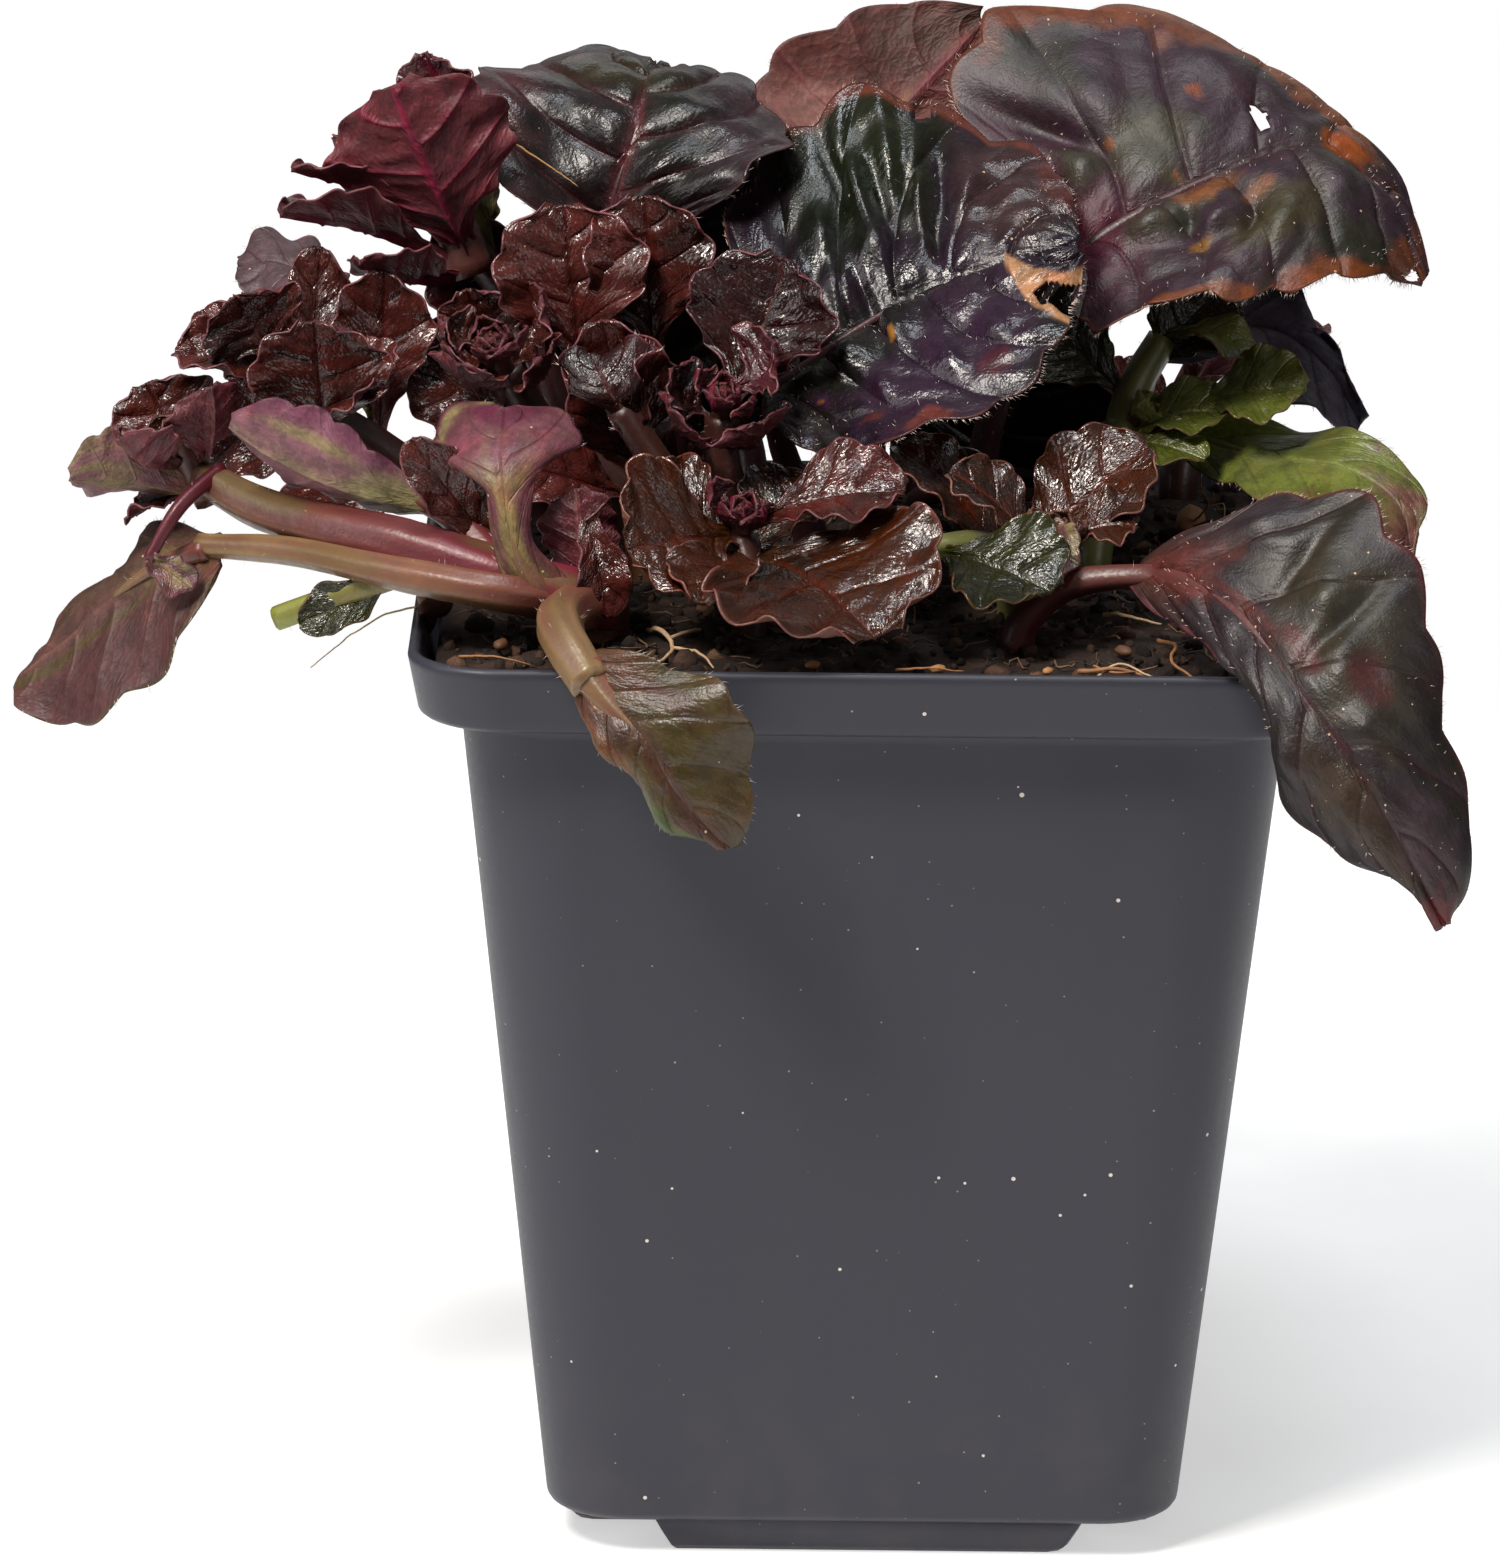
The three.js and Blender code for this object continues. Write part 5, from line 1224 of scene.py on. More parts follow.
def leaf_material(name, upper, smoothest, roughest, net_depth, freckles, gloss=0.4):
    """Leaf skin: side veins and a net of small veins with swellings between, sunk on the upper side
    and raised on the underside, with spots and a waxy or matte surface."""
    n = Nodes(name)
    place = n.place()
    veins = n.add("ShaderNodeUVMap", {"uv_map": "veins"}).outputs[0]
    along, across, _ = n.add("ShaderNodeSeparateXYZ", Vector=veins).outputs
    beside = n.calc("ABSOLUTE", n.calc("SUBTRACT", n.calc("FRACT", n.calc("ADD", along, 0.5)), 0.5))
    from_rib = n.calc("ABSOLUTE", across)
    side_vein = n.calc("MULTIPLY", n.range(beside, 0.0, 0.06, 1.0, 0.0),
                       n.range(from_rib, 0.8, 3.0, 1.0, 0.5))
    vein = n.calc("MAXIMUM", side_vein, n.range(from_rib, 0.0, 0.08, 1.0, 0.0))
    shifted = n.mix_colour(0.06, veins, n.add("ShaderNodeTexNoise", Vector=veins, Scale=2.5).outputs[1])
    net = n.net(shifted, (2.3, 2.6))
    small_net = n.net(shifted, (6.5, 7))
    grain = n.noise(place, 2600, 2)
    blotch = n.noise(place, 260, 2)
    line = n.calc("MAXIMUM", n.range(net, 0.0, 0.06, 0.75, 0.0), vein)
    tint = (0.55, 0.45, 0.5, 1) if upper else (1.25, 1.1, 1.15, 1)
    colour = n.mix_colour(n.calc("MULTIPLY", line, 0.45), n.tone(), tint, "MULTIPLY")
    colour = n.tinted(colour, blotch, 0.35, 0.7, 0.35, 0.62, 0.6, 0.58)
    colour = n.tinted(colour, grain, 0.5, 0.75, 0.5, 1.6, 1.45, 1.45)
    colour = n.tinted(colour, n.noise(place, 480, 4, 0.7), 0.46, 0.58, 0.55, 0.42, 0.42, 0.38)
    colour = n.tinted(colour, n.noise(place, 150, 3, 0.65), 0.54, 0.68, 0.4, 1.7, 1.1, 0.95)
    colour = n.mix_colour(n.spots(place, 750, 1 - freckles, 0.11), colour, (0.5, 0.34, 0.22, 1))
    rough = n.range(n.attribute("shine"), 0.0, 1.0, roughest, smoothest)
    rough = n.calc("ADD", rough, n.range(blotch, 0.2, 0.8, -0.05, 0.1))
    relief = n.sum(n.range(net, 0, 0.35, 0, 1), 0.6 * net_depth,
                   n.range(small_net, 0, 0.3, 0, 1), 0.3 * net_depth)
    relief = n.calc("ADD", relief, n.calc("MULTIPLY", grain, 0.05))
    relief = n.calc("SUBTRACT", relief, n.calc("MULTIPLY", vein, 0.7))
    normal = n.bump(relief if upper else n.calc("SUBTRACT", 1.0, relief), 0.5, 0.00035)
    normal = n.bump(n.noise(place, 1500, 2, 0.7), 0.5 if upper else 0.3, 0.00008, normal)
    pimples = n.calc("SUBTRACT", 1.0, n.dots(place, 3900)[0])
    normal = n.bump(pimples, 0.5 if upper else 0.35, 0.00004, normal)
    return n.finish(Base_Color=colour, Roughness=rough, Normal=normal, Specular_IOR_Level=gloss)


def stem_material():
    """Petiole skin: long streaks, a slight gloss and tiny bumps."""
    n = Nodes("stem_skin")
    place = n.place()
    streak = n.noise(place, 900, 3)
    colour = n.tinted(n.tone(), streak, 0.3, 0.75, 0.35, 0.6, 0.5, 0.5)
    relief = n.sum(streak, 0.6, n.dots(place, 2400)[0], 0.25)
    return n.finish(Base_Color=colour, Roughness=n.range(streak, 0.2, 0.8, 0.3, 0.5),
                    Normal=n.bump(relief, 0.5, 0.00015), Specular_IOR_Level=0.5)


def hair_material():
    n = Nodes("leaf_hair")
    colour = n.tinted(n.tone(), n.noise(n.place(), 600, 1), 0.3, 0.7, 0.4, 0.75, 0.6, 0.62)
    return n.finish(Base_Color=colour, Roughness=0.45)


def pot_material():
    """Moulded recycled plastic: a soft satin, flow marks, pale specks and flecks, and dust low down."""
    n = Nodes("pot_plastic")
    place = n.place()
    fine = n.noise(place, 1800, 2)
    flow = n.noise(n.add("ShaderNodeMapping", Vector=place, Scale=(260, 260, 9)).outputs[0], 1.0, 2)
    shade = n.tinted(n.tone(), n.noise(place, 22, 2), 0.3, 0.7, 0.12, 0.75, 0.74, 0.8)
    shade = n.tinted(shade, flow, 0.4, 0.75, 0.1, 1.35, 1.33, 1.4)
    height = n.add("ShaderNodeSeparateXYZ", Vector=place).outputs[2]
    dust = n.calc("MULTIPLY", n.range(n.noise(place, 140, 3), 0.45, 0.75, 0, 1),
                  n.range(height, 0.0, 0.022, 0.14, 0.0))
    shade = n.mix_colour(dust, shade, (0.16, 0.12, 0.09, 1))
    fleck = n.calc("MULTIPLY", n.spots(place, 900, 0.6, 0.1), 0.45)
    shade = n.mix_colour(fleck, shade, (0.55, 0.5, 0.46, 1))
    shade = n.mix_colour(n.spots(place, 420, 0.72, 0.1), shade, (0.62, 0.55, 0.48, 1))
    rough = n.calc("ADD", n.range(flow, 0.3, 0.7, 0.4, 0.47), n.range(fine, 0.3, 0.7, -0.02, 0.04))
    relief = n.sum(fine, 0.35, flow, 0.8)
    return n.finish(Base_Color=shade, Roughness=rough, Normal=n.bump(relief, 0.12, 0.0002),
                    Specular_IOR_Level=0.35)


def peat_material():
    """Damp peat: dark crumbs with a grain at every size."""
    n = Nodes("peat")
    place = n.place()
    grain = n.noise(place, 900, 6, 0.7)
    clumps = n.noise(place, 230, 5, 0.65)
    colour = n.tinted(n.tone(), grain, 0.35, 0.7, 0.8, 0.45, 0.42, 0.4)
    colour = n.tinted(colour, clumps, 0.5, 0.75, 0.5, 1.6, 1.45, 1.3)
    relief = n.calc("ADD", grain, n.calc("MULTIPLY", clumps, 0.8))
    return n.finish(Base_Color=colour, Roughness=n.range(clumps, 0.3, 0.7, 0.95, 0.7),
                    Normal=n.bump(relief, 1.0, 0.0006), Specular_IOR_Level=0.3)


def fibre_material():
    n = Nodes("root_fibre")
    grain = n.noise(n.place(), 1500, 4)
    colour = n.tinted(n.tone(), grain, 0.3, 0.7, 0.5, 0.5, 0.42, 0.35)
    return n.finish(Base_Color=colour, Roughness=0.65, Normal=n.bump(grain, 0.5, 0.0002))


def floor_material():
    n = Nodes("paper_floor")
    share = n.range(n.noise(n.place(), 120, 2), 0.3, 0.7, 0.0, 1.0)
    colour = n.mix_colour(share, (0.62, 0.62, 0.62, 1), (0.65, 0.65, 0.65, 1))
    return n.finish(Base_Color=colour, Roughness=0.85, Emission_Color=(1, 1, 1, 1), Emission_Strength=0.5)


# The leaves and shoots, with the same measures as in the solids

def small(to, wide, arch, **more):
    """A small leaf: where its tip is, how wide it is and how far it arches."""
    return {"to": to, "wide": wide, "arch": arch, **more}


def stalk(points, girth, end, **more):
    """A stem: the points it runs through, and its radius at the start and at the end."""
    return {"points": points, "girth": girth, "end": end, **more}


# A rib and two margins from base to tip, and marks at places along and across the leaf: patches with
# their size, screen colour and strength, forms with their size and rise, holes with their size, and
# tears with their inmost place and how far they open to each side
LARGE_LEAVES = {
    "leaf_top_right": dict(
        look="slate", laterals=6, scallops=7, margin_hairs=300, face_hairs=520, foot=(10, 9),
        petiole=[(12, 7, 108), (16, 4, 120)],
        rib=[(20, 4, 125), (26, 5, 129), (35, 7, 133), (43, 10, 135), (50, 10, 131), (55, 7, 122)],
        left=[
            (18, 6, 126), (11, 14, 134), (11, 20, 144), (25, 24, 145), (40, 24, 140), (50, 18, 132),
            (55, 8, 122),
        ],
        right=[(20, 2, 123), (21, -4, 120), (28, -6, 122), (39, -5, 124), (48, 0, 124), (55, 6, 122)],
        patches=[
            (0.28, 0.34, 0.09, 0.16, (54, 50, 28), 0.8), (0.5, -0.5, 0.12, 0.22, (64, 60, 32), 0.7),
            (0.2, -0.2, 0.08, 0.16, (60, 62, 46), 0.7), (0.15, 0.5, 0.05, 0.14, (66, 70, 56), 0.7),
            (0.45, 0.97, 0.16, 0.09, (120, 70, 48), 0.8), (0.57, 0.86, 0.1, 0.18, (124, 78, 58), 0.8),
            (0.69, 0.7, 0.08, 0.34, (126, 80, 58), 0.85), (0.72, 0.36, 0.06, 0.22, (128, 82, 58), 0.85),
            (0.66, 0.08, 0.05, 0.12, (146, 84, 50), 0.8), (0.32, -0.09, 0.08, 0.05, (128, 84, 56), 0.85),
            (0.44, -0.24, 0.05, 0.06, (128, 84, 56), 0.75), (0.42, 0.46, 0.017, 0.035, (140, 76, 44), 0.9),
            (0.23, 0.43, 0.013, 0.026, (140, 80, 44), 0.9), (0.3, -0.51, 0.028, 0.05, (126, 88, 42), 0.9),
            (0.41, -0.98, 0.1, 0.06, (132, 78, 50), 0.7), (0.72, -0.95, 0.13, 0.1, (132, 76, 48), 0.8),
            (0.92, -0.6, 0.08, 0.4, (118, 68, 44), 0.8), (0.96, 0.3, 0.06, 0.5, (104, 60, 44), 0.7),
        ],
        forms=[
            (0.16, 0.49, 0.05, 0.12, 1.3), (0.19, -0.18, 0.05, 0.12, 1.2), (0.33, -0.36, 0.05, 0.11, 1.4),
            (0.51, -0.54, 0.07, 0.15, 1.1), (0.36, 0.3, 0.06, 0.16, 0.8), (0.66, -0.32, 0.08, 0.2, 0.8),
            (0.2, 0.66, 0.022, 0.22, -2.0), (0.26, -0.28, 0.02, 0.13, -1.2),
            (0.42, -0.45, 0.022, 0.13, -1.1), (0.5, 0.55, 0.05, 0.2, 0.7), (0.6, 0.4, 0.03, 0.25, -0.6),
            (0.28, 0.6, 0.04, 0.15, 0.9),
        ],
        holes=[(0.5, 0.21, 0.013, 0.085), (0.955, -0.75, 0.02, 0.16)],
    ),
    "leaf_centre": dict(
        look="night", laterals=6, scallops=7, margin_hairs=300, face_hairs=380, foot=(-6, 6),
        petiole=[(-8, 3, 102), (-10, -4, 110)],
        rib=[(-11, -9, 113), (-3, -8, 119), (4, -6, 123), (12, -6, 126), (20, -7, 128)],
        left=[
            (-13, -6, 117), (-14, 2, 127), (-9, 9, 134), (0, 12, 138), (9, 10, 136), (17, 4, 133),
            (20, -5, 128),
        ],
        right=[
            (-11, -13, 111), (-3, -20, 110), (7, -22, 114), (15, -19, 118), (19, -12, 123), (20, -8, 128),
        ],
        patches=[
            (0.8, 0.6, 0.16, 0.5, (66, 48, 48), 0.75), (0.7, -0.2, 0.16, 0.4, (52, 38, 50), 0.7),
            (0.5, 0.75, 0.13, 0.3, (26, 32, 12), 0.9), (0.38, 0.6, 0.12, 0.25, (20, 26, 14), 0.8),
            (0.58, 0.5, 0.05, 0.3, (26, 28, 12), 0.7), (0.55, -0.6, 0.3, 0.42, (52, 36, 52), 0.85),
            (0.62, -0.75, 0.05, 0.09, (84, 38, 44), 0.6), (0.42, -0.94, 0.05, 0.05, (108, 62, 52), 0.7),
            (0.3, -0.75, 0.03, 0.06, (92, 52, 46), 0.6), (0.41, -0.22, 0.011, 0.04, (184, 134, 84), 1),
            (0.9, 0.9, 0.08, 0.12, (96, 56, 52), 0.6), (0.6, 0.98, 0.2, 0.03, (124, 74, 62), 0.6),
        ],
        forms=[
            (0.455, 0.66, 0.02, 0.24, 1.2), (0.53, 0.75, 0.019, 0.2, 1.0), (0.58, 0.58, 0.019, 0.3, 1.3),
            (0.69, 0.55, 0.035, 0.3, 1.1), (0.46, 0.32, 0.045, 0.13, 1.7), (0.35, 0.52, 0.032, 0.14, 1.2),
            (0.32, 0.27, 0.035, 0.12, 1.3), (0.27, -0.21, 0.05, 0.15, 1.3), (0.24, 0.57, 0.03, 0.15, 1.0),
            (0.43, 0.76, 0.013, 0.2, -0.9), (0.5, 0.5, 0.014, 0.22, -1.1), (0.61, 0.27, 0.018, 0.2, -1.2),
            (0.38, 0.1, 0.018, 0.15, -0.9), (0.635, 0.6, 0.016, 0.25, -0.9),
            (0.42, -0.23, 0.035, 0.12, 0.9), (0.34, -0.5, 0.035, 0.15, 0.9),
            (0.53, -0.5, 0.035, 0.15, 0.8), (0.67, -0.62, 0.035, 0.15, 0.8), (0.8, 0.6, 0.04, 0.25, 0.5),
        ],
        holes=[(0.6, 1.0, 0.02, 0.09)], tears=[(0.79, 0.05, 0.03, 0.14)],
    ),
    "leaf_top_left": dict(
        look="ink", laterals=5, margin_hairs=60, foot=(-21, 15), petiole=[(-25, 12, 108)],
        rib=[(-27, 6, 123), (-26, 6, 130), (-24, 8, 136), (-23, 14, 140), (-22, 22, 140)],
        left=[
            (-29, 5, 125), (-35, 4, 129), (-38, 6, 134), (-40, 12, 139), (-36, 20, 140), (-29, 26, 140),
            (-23, 24, 140),
        ],
        right=[
            (-23, 5, 125), (-18, 2, 129), (-13, 1, 133), (-9, 6, 135), (-12, 14, 138), (-16, 21, 139),
            (-22, 24, 140),
        ],
        patches=[
            (0.3, 0.0, 0.3, 0.03, (112, 62, 66), 0.7), (0.75, 0.2, 0.14, 0.6, (50, 46, 26), 0.7),
            (0.5, 0.9, 0.3, 0.25, (76, 50, 54), 0.7), (0.55, -0.8, 0.3, 0.3, (62, 50, 56), 0.6),
        ],
        forms=[(0.55, -0.4, 0.07, 0.2, 1.2), (0.3, -0.3, 0.1, 0.12, 0.9), (0.4, 0.4, 0.1, 0.2, -1.0)],
    ),
    "leaf_top_middle": dict(
        look="underside", laterals=5, scallops=5, margin_hairs=50, foot=(0, 21), petiole=[(0, 20, 112)],
        rib=[(1, 18, 128), (1, 20, 133), (4, 22, 137), (8, 24, 141), (11, 26, 144)],
        left=[(3, 18, 129), (6, 20, 134), (10, 20, 136), (13, 22, 140), (13, 25, 143)],
        right=[(-2, 18, 129), (-10, 20, 134), (-11, 22, 139), (-5, 24, 143), (4, 26, 146), (11, 27, 145)],
        patches=[
            (0.32, -0.5, 0.14, 0.4, (142, 100, 94), 0.85), (0.75, -0.5, 0.25, 0.4, (70, 46, 38), 0.8),
            (0.42, -0.08, 0.1, 0.04, (170, 128, 104), 0.8),
        ],
    ),
    "leaf_over_rim": dict(
        look="fall", stem="pink", laterals=6, scallops=7, margin_hairs=280, face_hairs=260, foot=(14, -30),
        petiole=[(18, -30, 99)],
        rib=[
            (25.5, -31, 101), (30, -39, 102), (35, -46, 100), (40, -54, 95), (45, -58, 89), (50, -60, 81),
            (54, -58, 73),
        ],
        left=[
            (26, -30, 102), (32, -35, 106), (39, -38, 110), (46, -42, 110), (51, -48, 102), (54, -54, 91),
            (56, -57, 80), (54, -57, 73),
        ],
        right=[
            (25, -32, 99.5), (28, -39, 98), (33, -47, 97), (37, -52, 94), (38, -53, 85), (45, -55, 80),
            (51, -58, 77), (53, -57, 72),
        ],
        patches=[
            (0.5, 0.5, 0.2, 0.4, (58, 54, 36), 0.6), (0.75, -0.3, 0.16, 0.35, (66, 52, 38), 0.75),
            (0.85, 0.3, 0.1, 0.4, (76, 60, 66), 0.6), (0.08, 0.1, 0.14, 0.5, (110, 62, 58), 0.8),
            (0.98, 0.0, 0.06, 0.8, (104, 42, 46), 0.85), (0.25, -0.95, 0.22, 0.13, (130, 82, 88), 0.85),
            (0.3, 0.12, 0.1, 0.07, (92, 42, 36), 0.8), (0.46, 0.24, 0.06, 0.1, (88, 36, 38), 0.7),
            (0.58, 0.5, 0.05, 0.16, (84, 36, 40), 0.6),
        ],
        forms=[
            (0.43, 0.6, 0.045, 0.17, 1.2), (0.53, 0.42, 0.035, 0.15, 1.0), (0.26, 0.7, 0.05, 0.17, 1.1),
            (0.63, 0.3, 0.045, 0.15, 0.8), (0.58, -0.55, 0.045, 0.18, 1.1), (0.72, -0.4, 0.05, 0.16, 0.8),
            (0.8, 0.3, 0.045, 0.16, 0.7), (0.48, 0.55, 0.016, 0.3, -0.9), (0.35, 0.6, 0.016, 0.25, -0.8),
        ],
    ),
    "leaf_right_green": dict(
        look="green", stem="green", laterals=5, foot=(24, 12), petiole=[(26, 11, 101)],
        rib=[(29, 10, 106), (35, 6, 105), (41, 0, 105), (47, -4, 105), (52, -8, 102), (53, -12, 95)],
        left=[
            (29, 10, 107), (35, 8, 108), (43, 5, 107), (49, 0, 107), (54, -5, 104), (54, -10, 99),
            (53, -13, 94),
        ],
        right=[(29, 9, 105), (34, 2, 103), (39, -6, 102), (44, -12, 102), (49, -16, 99), (52, -14, 94)],
        patches=[(1.0, 0.1, 0.3, 1.4, (124, 82, 80), 0.95), (0.7, -1.0, 0.25, 0.3, (120, 84, 70), 0.8)],
    ),
    "leaf_right_dark": dict(
        look="dusk", laterals=5, scallops=5, foot=(26, 24), petiole=[(27, 23, 104)],
        rib=[(28, 22, 111), (35, 20, 114), (41, 18, 114), (46, 14, 111), (49, 10, 106)],
        left=[(28, 23, 112), (35, 24, 117), (42, 22, 119), (45, 18, 114), (48, 14, 111), (50, 10, 107)],
        right=[(29, 20, 110), (36, 16, 112), (39, 12, 110), (44, 8, 108), (49, 8, 106)],
    ),
    "leaf_left_back": dict(
        look="grey", laterals=4, scallops=4, foot=(-33, 20), petiole=[(-40, 16, 106)],
        rib=[(-53, 12, 118), (-57, 13, 120), (-60, 14, 121), (-64, 16, 120)],
        left=[(-53, 9, 116), (-58, 9, 118), (-62, 11, 118), (-64, 14, 119)],
        right=[(-53, 15, 119), (-57, 18, 122), (-61, 19, 123), (-64, 17, 121)],
    ),
    "leaf_inner_left": dict(
        look="ink", laterals=4, scallops=4, foot=(-17, 24), petiole=[(-18, 23, 97)],
        rib=[(-19, 21, 99), (-20, 19, 105), (-22, 17, 112), (-20, 14, 122), (-15, 14, 132)],
        left=[(-21, 20, 99), (-30, 17, 104), (-33, 14, 112), (-30, 12, 120), (-20, 14, 131)],
        right=[
            (-17, 20, 99), (-11, 17, 104), (-8, 14, 112), (-7, 13, 121), (-9, 14, 130), (-14, 14, 132.5),
        ],
    ),
    "leaf_inner_right": dict(
        look="ink", laterals=4, scallops=4, foot=(5, 24), petiole=[(7, 23, 96)],
        rib=[(10, 20, 98), (13, 18, 104), (15, 16, 110), (16, 14, 117)],
        left=[(8, 20, 98), (3, 17, 104), (4, 14, 112), (10, 12, 117), (15, 13, 118)],
        right=[(12, 20, 97), (22, 18, 99), (25, 16, 104), (21, 14, 112), (17, 13, 118)],
    ),
    "leaf_back_left": dict(
        look="slate", scallops=5, margin_hairs=80, foot=(-12, 34), petiole=[(-14, 38, 104)],
        rib=[(-17, 43, 112), (-21, 50, 115), (-26, 58, 114), (-30, 65, 108)],
        left=[(-19, 42, 112), (-28, 46, 117), (-34, 56, 115), (-31, 65, 108)],
        right=[(-15, 45, 112), (-13, 54, 116), (-18, 64, 114), (-29, 66, 108)],
    ),
    "leaf_back_right": dict(
        look="night", scallops=5, margin_hairs=80, foot=(16, 32), petiole=[(19, 36, 104)],
        rib=[(23, 40, 111), (28, 47, 113), (33, 55, 110), (36, 61, 102)],
        left=[(21, 42, 111), (20, 51, 115), (26, 61, 111), (35, 62, 102)],
        right=[(25, 38, 111), (34, 40, 114), (41, 50, 111), (37, 60, 102)],
    ),
}

